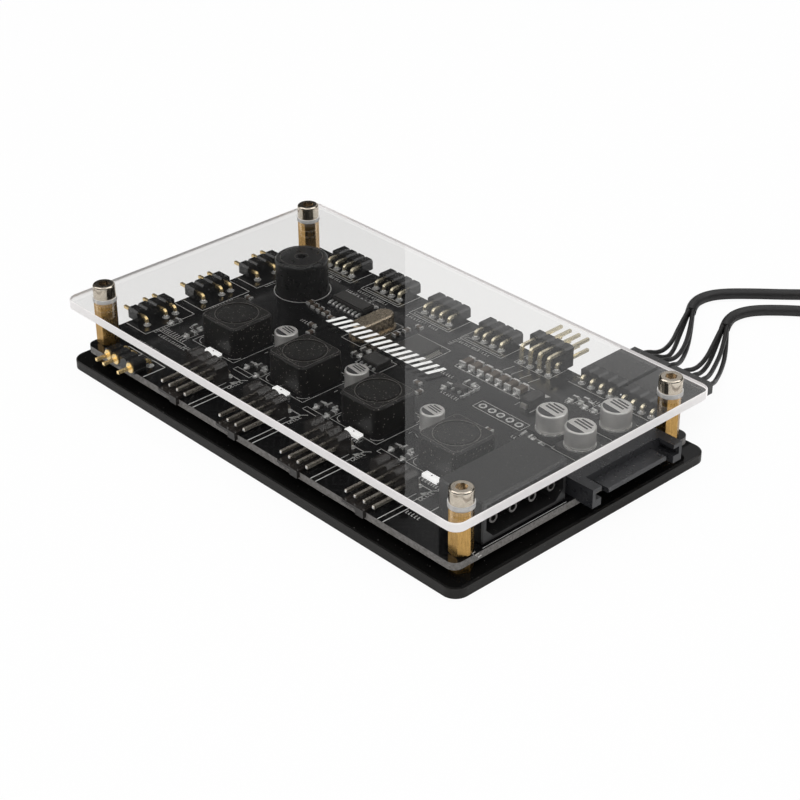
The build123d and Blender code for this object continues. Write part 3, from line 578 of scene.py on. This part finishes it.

# %% [markdown]
# ## Flat shapes
# Printing could be a picture on the board, but thin raised shapes stay sharp at any distance.
# `Flat` collects outlines in millimetres and raises them as one mesh.

# %% Flat shapes
class Flat:
    """Collects flat outlines and raises them into one mesh of thin plates."""

    def __init__(self, bottom, thick):
        self.bottom, self.thick, self.shapes = bottom, thick, []

    def polygon(self, points):
        self.shapes.append(points)

    def line(self, *points, width=0.16):
        """Straight strokes from point to point, each half a width longer at both ends."""
        for (ax, ay), (bx, by) in zip(points, points[1:]):
            length = math.hypot(bx - ax, by - ay)
            ux, uy = (bx - ax) / length * width / 2, (by - ay) / length * width / 2
            self.polygon([(ax - ux + uy, ay - uy - ux), (bx + ux + uy, by + uy - ux),
                          (bx + ux - uy, by + uy + ux), (ax - ux - uy, ay - uy + ux)])

    def frame(self, x0, y0, x1, y1, width=0.16):
        self.line((x0, y0), (x1, y0), (x1, y1), (x0, y1), (x0, y0), width=width)

    def arc(self, x, y, radius, start=0, stop=360, width=0.16, steps=None):
        steps = steps or max(4, int(abs(stop - start) / 12))
        outer, inner = radius + width / 2, radius - width / 2
        for i in range(steps):
            a, b = (start + (stop - start) * k / steps for k in (i, i + 1))
            self.polygon([along(x, y, a, outer), along(x, y, b, outer),
                          along(x, y, b, inner), along(x, y, a, inner)])

    def half_moon(self, x, y, radius, start, stop, steps):
        """The piece of a disc between an arc and its chord."""
        self.polygon([along(x, y, start + (stop - start) * i / steps, radius)
                      for i in range(steps + 1)])

    def ticks(self, x, y, count, turn=0, high=0.85, seed=1):
        """A row of short plain marks where small printing would be."""
        draw = random.Random(seed)
        step = 0.0
        for _ in range(count):
            wide = draw.uniform(0.28, 0.6)
            tall = high * draw.uniform(0.7, 1.0)
            foot = along(x, y, turn, step)
            self.line(foot, along(*foot, turn + 90, tall))
            self.line(foot, along(*foot, turn, wide * 0.6))
            step += wide + 0.3

    def build(self, name, material):
        mesh = bmesh.new()
        for shape in self.shapes:
            area = sum(ax * by - bx * ay for (ax, ay), (bx, by) in zip(shape, shape[1:] + shape[:1]))
            shape = shape if area > 0 else shape[::-1]
            low = [mesh.verts.new(pt(x, y, self.bottom)) for x, y in shape]
            high = [mesh.verts.new(pt(x, y, self.bottom + self.thick)) for x, y in shape]
            mesh.faces.new(low[::-1])
            mesh.faces.new(high)
            for i, j in zip(range(len(shape)), [*range(1, len(shape)), 0]):
                mesh.faces.new((low[i], low[j], high[j], high[i]))
        place_mesh(mesh, name, material)
        print(f"{name}: {len(self.shapes)} shapes")


def add_piece(name, data):
    """A piece at the origin that rides on the one body."""
    obj = bpy.data.objects.new(name, data)
    scene.collection.objects.link(obj)
    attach(obj, "root")


def place_mesh(mesh, name, material):
    """Turn a bmesh into a flat-shaded piece."""
    data = bpy.data.meshes.new(name)
    mesh.to_mesh(data)
    mesh.free()
    data.materials.append(material)
    add_piece(name, data)


print("kinds of flat shape:", [name for name in vars(Flat) if not name.startswith("_")])

# %% [markdown]
# ## White ink
# The ink is screen-printed: matt white, worn thin in patches, with a little tooth. It serves the
# board and the bars on the cover.

# %% White ink
ink_finish = Finish("white_ink", (0.80, 0.80, 0.78), 0.5)
worn = ink_finish.noise(3.0, 3.0).band(0.55, 0.8)
ink_finish.set("Base Color", worn.mix((0.82, 0.82, 0.80), (0.5, 0.5, 0.49)))
ink = ink_finish.bump(ink_finish.noise(8.0, 2.0), 0.00001, 0.4).material
print("ink nodes:", len(ink_finish.tree.nodes))

# %% [markdown]
# ## Outlines along the edges
# On the real board a white line marks where each connector sits, with a notch for its lock and
# small print beside it. The lines follow the connectors' places. The print is plain ticks.

# %% Outlines along the edges
silk = Flat(BOARD_TOP, 0.025)
for i, x in enumerate(SOCKET_X):
    silk.line((x - 6.15, 32.3), (x - 6.15, 25.6), (x + 6.15, 25.6), (x + 6.15, 32.3))
    silk.frame(x - 5.3, 26.2, x + 5.3, 27.1, 0.14)
    silk.ticks(x - 5.6, 24.2, 13, seed=i)
    silk.ticks(x - 1.0, 24.2, 4, seed=i + 9)
silk.line((13.7, 32.3), (13.7, 26.6), (23.6, 26.6), (23.6, 32.3))
silk.line((26.9, 28.9), (26.9, 31.6))
silk.frame(26.9, 28.9, 36.9, 31.6)
silk.frame(39.2, 28.9, 49.4, 31.6)
for x in (38.0, 50.6):
    silk.polygon([(x - 0.6, 31.6), (x + 0.6, 31.6), (x, 30.4)])
for i, x in enumerate(FAN_X):
    silk.line((x + 5.45, -32.3), (x + 5.45, -22.6), width=0.2)
    silk.line((x + 6.9, -32.3), (x + 6.9, -19.8), (x + 3.0, -19.8), width=0.2)
    silk.polygon([(x + 5.9, -22.0), (x + 6.7, -22.0), (x + 6.7, -20.2)])
    silk.ticks(x + 7.8, -23.6, 5, 90, 1.1, seed=20 + i)
    silk.arc(x + 9.2, -21.0, 2.6, 120, 240, 0.18)
for i, y in enumerate(SIDE_STRIP_Y):
    silk.line((-55.9, y - 6.6), (-49.2, y - 6.6), (-49.2, y + 6.6), (-55.9, y + 6.6))
    silk.ticks(-48.3, y - 4.6, 9, 90, 0.8, seed=40 + i)
silk.line((-49.1, -32.2), (-49.1, -26.6), (-36.5, -26.6), (-36.5, -32.2), width=0.2)
silk.frame(-44.4, -27.6, -40.7, -26.6)
silk.ticks(-47.8, -25.2, 10, seed=50)
silk.ticks(-48.2, -18.4, 10, high=1.5, seed=51)
silk.line((-48.4, -18.9), (-39.2, -18.9), width=0.14)
silk.ticks(-46.9, -20.4, 12, high=0.9, seed=52)
print("shapes along the edges:", len(silk.shapes))

# %% [markdown]
# ## Outlines of coils, cans and buzzer
# A square with rounded inner corners frames each coil, with a narrow box and a stroke beside it.
# Small cans have an open ring, and large ones a box whose two cut corners show how they are turned.

# %% Outlines of coils, cans and buzzer
for i, (x, y) in enumerate(COILS):
    silk.frame(x - 6.9, y - 6.9, x + 6.9, y + 6.9)
    for sx, sy, angle in CORNERS:
        silk.arc(x + sx * 4.6, y + sy * 4.6, 1.75, angle - 5, angle + 95)
    silk.ticks(x - 5.6, y - 10.4, 5, seed=60 + i)
    silk.frame(x + 8.7, y - 8.4, x + 13.9, y - 7.2, 0.14)
    silk.line((x + 8.2, y + 0.6), (x + 8.2, y + 6.4))
for x, y in SMALL_CANS:
    silk.arc(x, y, 3.35, 20, 340, 0.2)
for x, y in LARGE_CANS:
    silk.line((x - 3.9, y - 3.9), (x + 3.9, y - 3.9), (x + 3.9, y + 2.6), (x + 2.6, y + 3.9),
              (x - 2.6, y + 3.9), (x - 3.9, y + 2.6), (x - 3.9, y - 3.9))
silk.arc(*BUZZER, 6.35, width=0.24)
print("shapes so far:", len(silk.shapes))

# %% [markdown]
# ## Outlines of chips and small parts
# The rest of the printing follows no rule: boxes round chips, slanted strokes, arrows and rows of
# small print between the parts. They are placed one by one, as read from the photograph.

# %% Outlines of chips and small parts
silk.frame(20.4, 7.7, 33.6, 10.7)
silk.frame(6.3, 16.4, 25.0, 21.4, 0.2)
for i in range(4):
    silk.line((14.5 + 2.4 * i, 22.5), (15.0 + 2.4 * i, 25.3))
silk.line((56.1, -24.9), (56.1, -2.9), width=0.11)
silk.line((42.2, -24.9), (42.2, -2.4), width=0.2)
for x in (26.0, 30.2):
    silk.line((x, 14.2), (x, 20.2))
silk.polygon([(27.3, 21.6), (28.9, 21.6), (28.1, 20.4)])
silk.frame(-9.0, 10.1, 1.2, 20.3)
silk.arc(-8.2, 11.0, 0.35, width=0.2, steps=10)
silk.frame(-19.3, 7.6, -13.3, 20.2)
silk.frame(-9.2, 2.5, -2.4, 8.1)
PRINT_PLACES = ((-22.0, 10.0), (-26.5, 20.0), (-31.0, 6.0), (4.4, 12.4), (33.0, 22.2), (36.4, 26.4),
                (12.0, 6.8), (-1.0, 22.2), (34.0, 4.8), (42.0, 1.8), (-29.8, -21.4), (52.0, -27.5),
                (38.0, -27.2), (-12.0, -18.6), (10.2, -18.6), (32.4, -18.6), (44.0, 27.0), (-34.6, 22.4))
for i, (x, y) in enumerate(PRINT_PLACES):
    silk.ticks(x, y, 5 + i % 4, 90 if i % 3 == 1 else 0, seed=80 + i)
UPRIGHT_BOXES = ((-42.3, -15.4), (-49.2, -14.2), (32.8, 24.1), (34.8, 25.1), (36.6, 24.4), (38.9, 24.6))
for x, y in UPRIGHT_BOXES:
    silk.frame(x - 0.95, y - 1.45, x + 0.95, y + 1.45, 0.14)
for x, y in ((36.2, 7.3), (39.2, 6.7), (14.1, 13.4), (-43.6, -12.4)):
    silk.frame(x - 1.45, y - 0.95, x + 1.45, y + 0.95, 0.14)
silk.build("board_printing", ink)

# %% [markdown]
# ## Panel on the cover
# A plain row of slanted white bars is printed on top of the clear cover.

# %% Bars on the cover
bars = Flat(COVER_TOP, 0.02)
for i in range(16):
    x = -13.4 + 1.98 * i
    bars.polygon([(x, -1.7), (x + 0.95, -1.7), (x + 2.15, 2.4), (x + 1.2, 2.4)])
bars.build("cover_bars", ink)

# %% [markdown]
# ## Trees for what repeats
# Solder joints, chip legs and metal ends repeat by the dozen. Modelling each by hand would be slow
# and uneven, so Geometry Nodes set one small shape on every place and make the copies real mesh.

# %% Scatter trees
SIZE_NAMES = {"cone": ("Foot Radius", "Tip Radius", "Height"), "block": ("Length", "Width", "Height")}


def scatter_tree(shape):
    """A tree that puts a cone or a block on every vertex and turns it by the turn attribute."""
    group = bpy.data.node_groups.new(f"scatter_{shape}", "GeometryNodeTree")
    group.interface.new_socket("Geometry", in_out="OUTPUT", socket_type="NodeSocketGeometry")
    kinds = {"Places": "Geometry", **dict.fromkeys(SIZE_NAMES[shape], "Float"), "Material": "Material"}
    ids = {}
    for name, kind in kinds.items():
        socket = group.interface.new_socket(name, in_out="INPUT", socket_type=f"NodeSocket{kind}")
        ids[name] = socket.identifier
    tree = Tree(group)
    given = tree.node("NodeGroupInput")
    if shape == "cone":
        body = tree.node("GeometryNodeMeshCone", {}, {
            "Vertices": 14, "Radius Top": given.out("Tip Radius"),
            "Radius Bottom": given.out("Foot Radius"), "Depth": given.out("Height")})
    else:
        size = tree.node("ShaderNodeCombineXYZ", {}, {
            axis: given.out(name) for axis, name in zip("XYZ", SIZE_NAMES[shape])})
        body = tree.node("GeometryNodeMeshCube", {}, {"Size": size})
    turn = tree.node("GeometryNodeInputNamedAttribute", {}, {"Name": "turn"})
    rotation = tree.node("ShaderNodeCombineXYZ", {}, {"Z": turn})
    spread = tree.node("GeometryNodeInstanceOnPoints", {}, {
        "Points": given.out("Places"), "Instance": body.out("Mesh"), "Rotation": rotation})
    real = tree.node("GeometryNodeRealizeInstances", {}, {"Geometry": spread})
    paint = tree.node("GeometryNodeSetMaterial", {}, {"Geometry": real,
                                                      "Material": given.out("Material")})
    tree.node("NodeGroupOutput", {}, {"Geometry": paint})
    return group, ids


TREES = {shape: scatter_tree(shape) for shape in SIZE_NAMES}
print("nodes in each tree:", {shape: len(group.nodes) for shape, (group, _) in TREES.items()})

# %% [markdown]
# ## Setting shapes on places
# The places become loose vertices that carry their turn. The tree runs once on them, its result is
# copied as a plain mesh, and the holder with its modifier is thrown away.

# %% Scatter
def scatter(name, shape, places, sizes, material):
    """Put one small shape on every place (x, y, level, turn) and keep the result as plain mesh."""
    group, ids = TREES[shape]
    points = bpy.data.meshes.new(f"{name}_places")
    points.from_pydata([pt(*place[:3]) for place in places], [], [])
    turns = points.attributes.new("turn", "FLOAT", "POINT")
    for spot, place in zip(turns.data, places):
        spot.value = math.radians(place[3] if len(place) > 3 else 0)
    holder = bpy.data.objects.new(f"{name}_holder", points)
    scene.collection.objects.link(holder)
    made = holder.modifiers.new("scatter", "NODES")
    made.node_group = group
    for key, value in zip(SIZE_NAMES[shape], sizes):
        made[ids[key]] = value * MM
    made[ids["Material"]] = material
    bpy.context.view_layer.update()
    shown = holder.evaluated_get(bpy.context.evaluated_depsgraph_get())
    data = bpy.data.meshes.new_from_object(shown)
    bpy.data.objects.remove(holder)
    data.materials.clear()
    data.materials.append(material)
    for face in data.polygons:
        face.material_index = 0
        face.use_smooth = shape == "cone" and len(face.vertices) == 4
    add_piece(name, data)
    print(f"{name}: {len(places)} places, {len(data.polygons)} faces")


def both_ends(parts, reach, level):
    """The two ends of each small part (x, y, turn), at a reach from its middle."""
    return [(*along(x, y, turn, side * reach), level, turn) for x, y, turn in parts
            for side in (-1, 1)]


def front_and_back(across, y, reach, level):
    """Two rows of places, in front of and behind a line at y."""
    return [(x, y + side * reach, level) for x in across for side in (-1, 1)]


print("sizes of each shape:", SIZE_NAMES)

# %% [markdown]
# ## Solder joints
# Wherever a pin goes through the board there is a tinned ring and a small cone of solder, and a
# cone below as well. Pads and cones have the same places and differ only in size.

# %% Solder joints
PAD, JOINT, JOINT_BELOW = (0.86, 0.84, 0.035), (0.72, 0.36, 0.62), (0.36, 0.74, 0.62)
DRIVE_MIDDLE_Y, DRIVE_PITCH = -13.5, 5.08
tails = [(x + way, -20.4) for x in FAN_X for way in WAYS]
tails += [(-52.4, y - way) for y in SIDE_STRIP_Y for way in STRIP_WAYS]
tails += [(FRONT_STRIP_X + way, -28.4) for way in STRIP_WAYS]
tails += [(x + way, 28.1) for x in SOCKET_X for way in WAYS]
tails += [(18.67 + way, 32.5 - reach) for reach in (2.35, 4.9) for way in WAYS]
tails += [(x + way, 30.4) for x in LEAD_X for way in WAYS]
joints = [(x, y, BOARD_TOP) for x, y in tails]
scatter("solder_pads", "cone", joints, PAD, solder)
scatter("solder_cones", "cone", joints, JOINT, solder)
below = [(x, y, BOARD_BOTTOM - JOINT_BELOW[2]) for x, y in tails]
scatter("solder_beneath", "cone", below, JOINT_BELOW, solder)
drive_legs = [(42.8, DRIVE_MIDDLE_Y + DRIVE_PITCH * step, BOARD_TOP) for step in (-1.5, -0.5, 0.5, 1.5)]
scatter("drive_solder", "cone", drive_legs, (1.2, 0.62, 0.5), solder)

# %% [markdown]
# ## Small two-ended parts
# Chip resistors and capacitors are ceramic blocks with a metal cap at each end and a fillet of
# solder at each cap. The larger blocks are in the model. The caps, the solder and the tiniest
# blocks are set here.

# %% Small two-ended parts
resistors = [(x + 22.2 * i, y, turn) for i in range(3)
             for x, y, turn in ((-22.9, -14.6, 90), (-20.7, -13.2, 0), (-18.8, -15.4, 90))]
resistors += [(-42.3, -15.4, 90), (-43.6, -12.4, 0), (-49.2, -14.2, 90), (32.8, 24.1, 90),
              (34.8, 25.1, 90), (36.6, 24.4, 90), (38.9, 24.6, 90), (36.2, 7.3, 0), (39.2, 6.7, 0),
              (14.1, 13.4, 0), (11.4, 9.2, 90), (-11.0, 7.2, 0), (-11.0, 4.6, 0)]
tiny = [(-35.5, 12.8, 90), (-33.5, 12.4, 90), (-31.5, 12.2, 90), (-29.4, 12.0, 90), (-27.0, 11.4, 0),
        (-11.6, 19.4, 90), (-10.6, 22.3, 0), (-11.8, 16.6, 90), (-27.4, 6.3, 0), (-25.2, 3.9, 90),
        (6.4, 5.8, 0), (9.2, 3.4, 90), (29.6, 3.2, 0), (-46.6, 4.4, 0), (-45.2, -3.1, 90)]
CAPACITOR_Y = 18.9
capacitor_x = [7.6 + 2.6 * i for i in range(7)]
tiny_level, resistor_level, capacitor_level = BOARD_TOP + 0.27, BOARD_TOP + 0.29, BOARD_TOP + 0.565
scatter("tiny_parts", "block", [(x, y, tiny_level, turn) for x, y, turn in tiny],
        (1.1, 0.95, 0.54), ceramic_tan)
scatter("tiny_part_ends", "block", both_ends(tiny, 0.72, tiny_level), (0.38, 1.0, 0.56), solder)
scatter("resistor_ends", "block", both_ends(resistors, 0.82, resistor_level), (0.42, 1.3, 0.6), solder)
scatter("capacitor_ends", "block", front_and_back(capacitor_x, CAPACITOR_Y, 1.38, capacitor_level),
        (1.66, 0.52, 1.15), solder)
dots = front_and_back(capacitor_x, CAPACITOR_Y, 2.0, BOARD_TOP)
dots += [end[:3] for end in both_ends(resistors, 1.28, BOARD_TOP)]
scatter("solder_dots", "cone", dots, (0.55, 0.3, 0.28), solder)

# %% [markdown]
# ## Legs of the chips
# The processor has twelve bent legs on each side. Each leg is a knee close to the body and a foot
# on the board. The driver chip, the transistor and the diode have wider legs.

# %% Legs of the chips
FOOT_REACH, FOOT_LEVEL, KNEE_REACH, KNEE_LEVEL = 4.35, 0.08, 3.88, 0.3
feet, knees = [], []
for shift in [-2.75 + 0.5 * i for i in range(12)]:
    for turn in (0, 90, 180, 270):
        x, y = along(*PROCESSOR, turn + 90, shift)
        feet.append((*along(x, y, turn, FOOT_REACH), BOARD_TOP + FOOT_LEVEL, turn))
        knees.append((*along(x, y, turn, KNEE_REACH), BOARD_TOP + KNEE_LEVEL, turn))
scatter("processor_feet", "block", feet, (0.7, 0.24, 0.14), tin)
scatter("processor_knees", "block", knees, (0.3, 0.24, 0.56), tin)
leg_level = BOARD_TOP + 0.25
leg_x = [DRIVER_CHIP[0] - 1.9 + 1.27 * i for i in range(4)]
legs = front_and_back(leg_x, DRIVER_CHIP[1], 2.35, leg_level)
legs += [(TRANSISTOR[0] + aside, TRANSISTOR[1] + away, leg_level)
         for aside, away in ((-0.95, -1.1), (0.95, -1.1), (0.0, 1.1))]
scatter("chip_legs", "block", legs, (0.42, 0.8, 0.46), solder)
scatter("diode_tabs", "block", front_and_back([DIODE[0]], DIODE[1], 2.45, BOARD_TOP + 0.47),
        (1.56, 0.56, 0.95), tin)

# %% [markdown]
# ## Bare pads and lamps
# Five tinned rings in a printed box are left for a connector that isn't fitted. Each white lamp
# has a metal end on both sides and a small dark spot on top.

# %% Bare pads and lamps
BARE_X, BARE_Y = (21.9, 24.5, 26.9, 29.5, 32.0), 9.2
LAMP_Y, LAMP_TOP = -17.0, 6.41
rings = [(x, BARE_Y, BOARD_TOP) for x in BARE_X]
scatter("bare_pads", "cone", rings, (0.92, 0.9, 0.04), solder)
scatter("bare_holes", "cone", rings, (0.52, 0.5, 0.06), can_base_black)
scatter("lamp_marks", "block", [(x + 0.1, LAMP_Y - 0.05, LAMP_TOP) for x in LAMP_X],
        (0.32, 0.3, 0.05), can_base_black)
scatter("lamp_ends", "block", both_ends([(x, LAMP_Y, 0) for x in LAMP_X], 2.02, BOARD_TOP + 0.2),
        (0.3, 1.3, 0.4), solder)

# %% [markdown]
# ## Long chip
# A long moulded chip with eight bright legs on each side lies between the buzzer and the crystal.
# A bevelled cube is enough for its body, and the legs use the same tree as before.

# %% Long chip
long_x, long_y = LONG_CHIP
mesh = bmesh.new()
made = bmesh.ops.create_cube(mesh, size=1.0)
bmesh.ops.scale(mesh, verts=made["verts"], vec=pt(10.0, 3.9, 1.3))
bmesh.ops.translate(mesh, verts=made["verts"], vec=pt(long_x, long_y, BOARD_TOP + 0.8))
bmesh.ops.bevel(mesh, geom=list(mesh.edges), offset=0.28 * MM, segments=2, affect="EDGES")
bmesh.ops.recalc_face_normals(mesh, faces=mesh.faces)
place_mesh(mesh, "long_chip", chip_black)
leg_x = [long_x - 4.45 + 1.27 * i for i in range(8)]
scatter("long_chip_legs", "block", front_and_back(leg_x, long_y, 2.45, BOARD_TOP + 0.35),
        (0.42, 1.1, 0.34), solder)
scatter("long_chip_solder", "cone", front_and_back(leg_x, long_y, 3.05, BOARD_TOP),
        (0.46, 0.22, 0.4), solder)

# %% [markdown]
# ## Painted highlights on the fan pin tips
# The cut ends of the fan pins catch bright highlights. A thin bright block at each point is a
# painted highlight.

# %% Painted highlights on the fan pin tips
# A bright block on each pin tip paints the highlight of its cut end.
TIP_Y, TIP_LEVEL = -31.98, 7.0
tip_highlights = [(x + way, TIP_Y, TIP_LEVEL) for x in FAN_X for way in WAYS]
scatter("fan_pin_tip_highlights", "block", tip_highlights, (0.42, 0.1, 0.42), solder)

# %% [markdown]
# ## Cans
# Each can has a dark half moon on one side of its top and three rows of short strokes across the
# rest. A bright ring lies where its foot is rolled in above the black base.

# %% Cans
CAN_TOP, MOON_START, MOON_SWEEP = 10.7, 199, 130
STROKES = ((-0.62, -0.3), (-0.2, 0.05), (0.18, 0.6))
can_ink = plastic("can_ink", (0.03, 0.03, 0.032), 0.4, 6.0, 0.00001, 0.0, 1.4)
marks = Flat(CAN_TOP, 0.015)
middle = MOON_START + MOON_SWEEP / 2
for places, radius in ((SMALL_CANS, 2.1), (LARGE_CANS, 2.75)):
    for x, y in places:
        marks.half_moon(x, y, radius, MOON_START, MOON_START + MOON_SWEEP, 16)
        for row, wide in enumerate((1.0, 1.15, 0.8)):
            row_middle = along(x, y, middle, -radius * (0.05 + 0.3 * row))
            for ends in STROKES:
                stroke = [along(*row_middle, middle + 90, radius * wide * end) for end in ends]
                marks.line(*stroke, width=radius * 0.16)
marks.build("can_marks", can_ink)
for name, places, radius in (("small_can_rims", SMALL_CANS, 2.5), ("large_can_rims", LARGE_CANS, 3.15)):
    rims = Flat(6.4, 0.34)
    for x, y in places:
        rims.arc(x, y, radius, 0, 360, 0.2, 48)
    rims.build(name, can_rim)

# %% [markdown]
# ## Painted highlights on the coils and the buzzer
# A fine raised ring runs round each coil where the cap meets the core, and its pale colour is a
# painted highlight. A square with round corners along the top edge is a painted edge highlight. The
# buzzer's top has two pale rings, the outer one a painted highlight of its rim. All are a few
# hundredths high.

# %% Painted highlights on the coils and the buzzer
COIL_TOP, BUZZER_TOP = 12.1, 13.7
# Pale lines, painted as highlights on the coils' ring and top edge and on the buzzer's rim.
highlight_line_finish = plastic("painted_highlight_lines", (0.17, 0.16, 0.15), 0.3, 5.0, 0.00003, 0.1, 1.6)
coil_highlights = Flat(COIL_TOP, 0.05)
for x, y in COILS:
    coil_highlights.arc(x, y, 4.66, 0, 360, 0.14, 56)
    for sx, sy, angle in CORNERS:
        coil_highlights.arc(x + sx * 4.1, y + sy * 4.1, 1.1, angle, angle + 90, 0.07)
        side_middle = along(x, y, angle, 5.2)
        coil_highlights.line(along(*side_middle, angle - 90, 4.1), along(*side_middle, angle + 90, 4.1), width=0.07)
coil_highlights.build("coil_highlight_rings", highlight_line_finish)
buzzer_highlights = Flat(BUZZER_TOP, 0.04)
buzzer_highlights.arc(*BUZZER, 4.7, 0, 360, 0.12, 56)
buzzer_highlights.arc(*BUZZER, 1.5, 20, 300, 0.1, 24)
buzzer_highlights.build("buzzer_highlight_rings", highlight_line_finish)

# %% [markdown]
# ## Drilled holes of the cover
# A drill leaves a white, rough edge in clear acrylic. Each hole gets a fine white ring above and
# below and a pale lining between them.

# %% Drilled holes of the cover
halo_finish = plastic("drilled_edge", (0.86, 0.85, 0.84), 0.4, 5.0, 0.00001, 0.0, 1.1)
for name, level, thick in (("halos_above", COVER_TOP, 0.05), ("halos_below", COVER_BOTTOM - 0.05, 0.05),
                           ("bore_walls", COVER_BOTTOM + 0.15, 1.7)):
    halo = Flat(level, thick)
    for x in (-SCREW_X, SCREW_X):
        for y in (-SCREW_Y, SCREW_Y):
            halo.arc(x, y, 2.5, 0, 360, 0.14, 40)
    halo.build(name, halo_finish)

# %% [markdown]
# ## Bent contacts
# Four small bright contacts stand in a row beside the box of bare pads, each bent to an arc.

# %% Bent contacts
bent = Flat(BOARD_TOP, 0.5)
for i in range(4):
    bent.arc(15.3, 8.9 + 1.27 * i, 1.5, -38, 40, 0.26, 8)
bent.build("bent_contacts", solder)

# %% [markdown]
# ## Gold collars
# The header on the front edge has a round gold collar where each pin leaves the plastic. Each is
# a short bevelled disc, turned so that its axis follows the pin.

# %% Gold collars
mesh = bmesh.new()
for way in STRIP_WAYS:
    made = bmesh.ops.create_cone(mesh, cap_ends=True, segments=28, radius1=1.17 * MM, radius2=1.17 * MM,
                                 depth=0.34 * MM)
    bmesh.ops.rotate(mesh, verts=made["verts"], matrix=Matrix.Rotation(math.pi / 2, 3, "X"))
    bmesh.ops.translate(mesh, verts=made["verts"], vec=pt(FRONT_STRIP_X + way, -33.5, 7.0))
sharp_edges = [edge for edge in mesh.edges if edge.calc_face_angle() > 1.0]
bmesh.ops.bevel(mesh, geom=sharp_edges, offset=0.08 * MM, segments=2, affect="EDGES")
bmesh.ops.recalc_face_normals(mesh, faces=mesh.faces)
place_mesh(mesh, "gold_collars", gold)
print("collars:", len(STRIP_WAYS))

# %% [markdown]
# ## Floor
# The photograph was cut out on white. The floor glows white to the camera and through the clear
# cover, but is a plain pale surface for light that bounces, so that it doesn't wash out the object.

# %% Floor
floor_finish = Finish("floor", (0.86, 0.86, 0.86), 0.9)
path = floor_finish.node("ShaderNodeLightPath")
seen = (path.out("Glossy Depth") + path.out("Diffuse Depth")).under(0.5)
glow = floor_finish.node("ShaderNodeEmission", {}, {"Strength": 1.0})
floor_finish.surface(floor_finish.node("ShaderNodeMixShader", {},
                                       {0: seen * 0.94, 1: floor_finish.plain, 2: glow}))
sheet = bmesh.new()
sheet.faces.new([sheet.verts.new((x, y, 0)) for x, y in ((-4, -4), (4, -4), (4, 4), (-4, 4))])
floor_data = bpy.data.meshes.new("floor")
sheet.to_mesh(floor_data)
sheet.free()
floor_data.materials.append(floor_finish.material)
floor = bpy.data.objects.new("floor", floor_data)
scene.collection.objects.link(floor)
print("floor size in metres:", floor.dimensions[:2])

# %% [markdown]
# ## World
# The world is white to the camera. Metals see a dark room with a ring of light overhead and two
# soft boxes, which gives them dark and bright bands. The clear cover mirrors only the dark room, or
# it would look foggy from the sides.

# %% World
DARK_ROOM, RING_LIGHT, SOFT_BOX, SCATTERED_LIGHT = 0.03, 1.5, 1.9, 0.55
BOX_DIRECTIONS = ((-0.63, -0.51, 0.585), (0.51, 0.58, 0.635))
world = bpy.data.worlds.new("studio")
scene.world = world
world.use_nodes = True
room = Tree(world.node_tree)
rays = room.node("ShaderNodeLightPath")
reflected, scattered = rays.out("Glossy Depth").over(0.5), rays.out("Diffuse Depth").over(0.5)
direction = room.node("ShaderNodeSeparateXYZ", {}, {"Vector": room.node("ShaderNodeTexCoord",
                                                                       out="Generated")})
height = direction.out("Z")
light = height.band(0.70, 0.78) * (1 - height.band(0.93, 0.97)) * RING_LIGHT + DARK_ROOM
for box_x, box_y, box_z in BOX_DIRECTIONS:
    near = direction.out("X") * box_x + direction.out("Y") * box_y + height * box_z
    light = light.maths("MAXIMUM", near.band(0.95, 0.975) * SOFT_BOX)
mirror_like = rays.out("Is Singular Ray") * rays.out("Transmission Depth").under(2.5)
light = mirror_like * DARK_ROOM + (1 - mirror_like) * light
strength = scattered * SCATTERED_LIGHT + (1 - scattered) * (reflected * light + (1 - reflected))
sky = world.node_tree.nodes["Background"]
room.feed(sky.inputs["Color"], (1.0, 1.0, 1.0))
room.feed(sky.inputs["Strength"], strength)
print("world nodes:", len(world.node_tree.nodes))

# %% [markdown]
# ## Lamps
# A wide soft lamp hangs overhead and a weaker one fills from the front. The third stands where the
# cover mirrors it to the camera. Its left edge draws the line between the clear and the veiled part.

# %% Lamps
def panel(name, middle, facing, upright, width, height, radiance, mirrored=False):
    """Soft rectangular lamp of a given brightness, turned towards a point."""
    data = bpy.data.lights.new(name, "AREA")
    data.shape, data.size, data.size_y = "RECTANGLE", width, height
    data.energy = radiance * math.pi * width * height
    lamp = bpy.data.objects.new(name, data)
    scene.collection.objects.link(lamp)
    back = (Vector(middle) - Vector(facing)).normalized()
    side = Vector(upright).cross(back).normalized()
    turned = Matrix((side, back.cross(side), back)).transposed().to_4x4()
    lamp.matrix_world = Matrix.Translation(Vector(middle)) @ turned
    lamp.visible_camera = False
    lamp.visible_glossy = lamp.visible_transmission = mirrored
    print(f"{name}: {data.energy:.2f} watts")


AWAY, WIDE, HIGH, LEFT_EDGE = 2.0, 0.9, 0.9, 0.0025
panel("overhead", (0.1, -0.1, 1.1), (0, 0, 0), (0, 1, 0), 1.3, 1.3, 1.55)
mirror_eye = Vector((EYE.x, EYE.y, 2 * COVER_TOP - EYE.z)) * MM
mirror_forward, mirror_right, mirror_up = (Vector((arrow.x, arrow.y, -arrow.z))
                                           for arrow in (FORWARD, RIGHT, UP))
behind = mirror_eye + mirror_forward * AWAY + mirror_right * (WIDE / 2 + LEFT_EDGE * AWAY)
panel("behind", behind, behind - mirror_forward, mirror_up, WIDE, HIGH, 0.40, True)
panel("front_fill", (0.75, -1.1, 0.45), (0, 0, 0), (0, 0, 1), 0.8, 0.5, 1.1)

# %% [markdown]
# ## The end
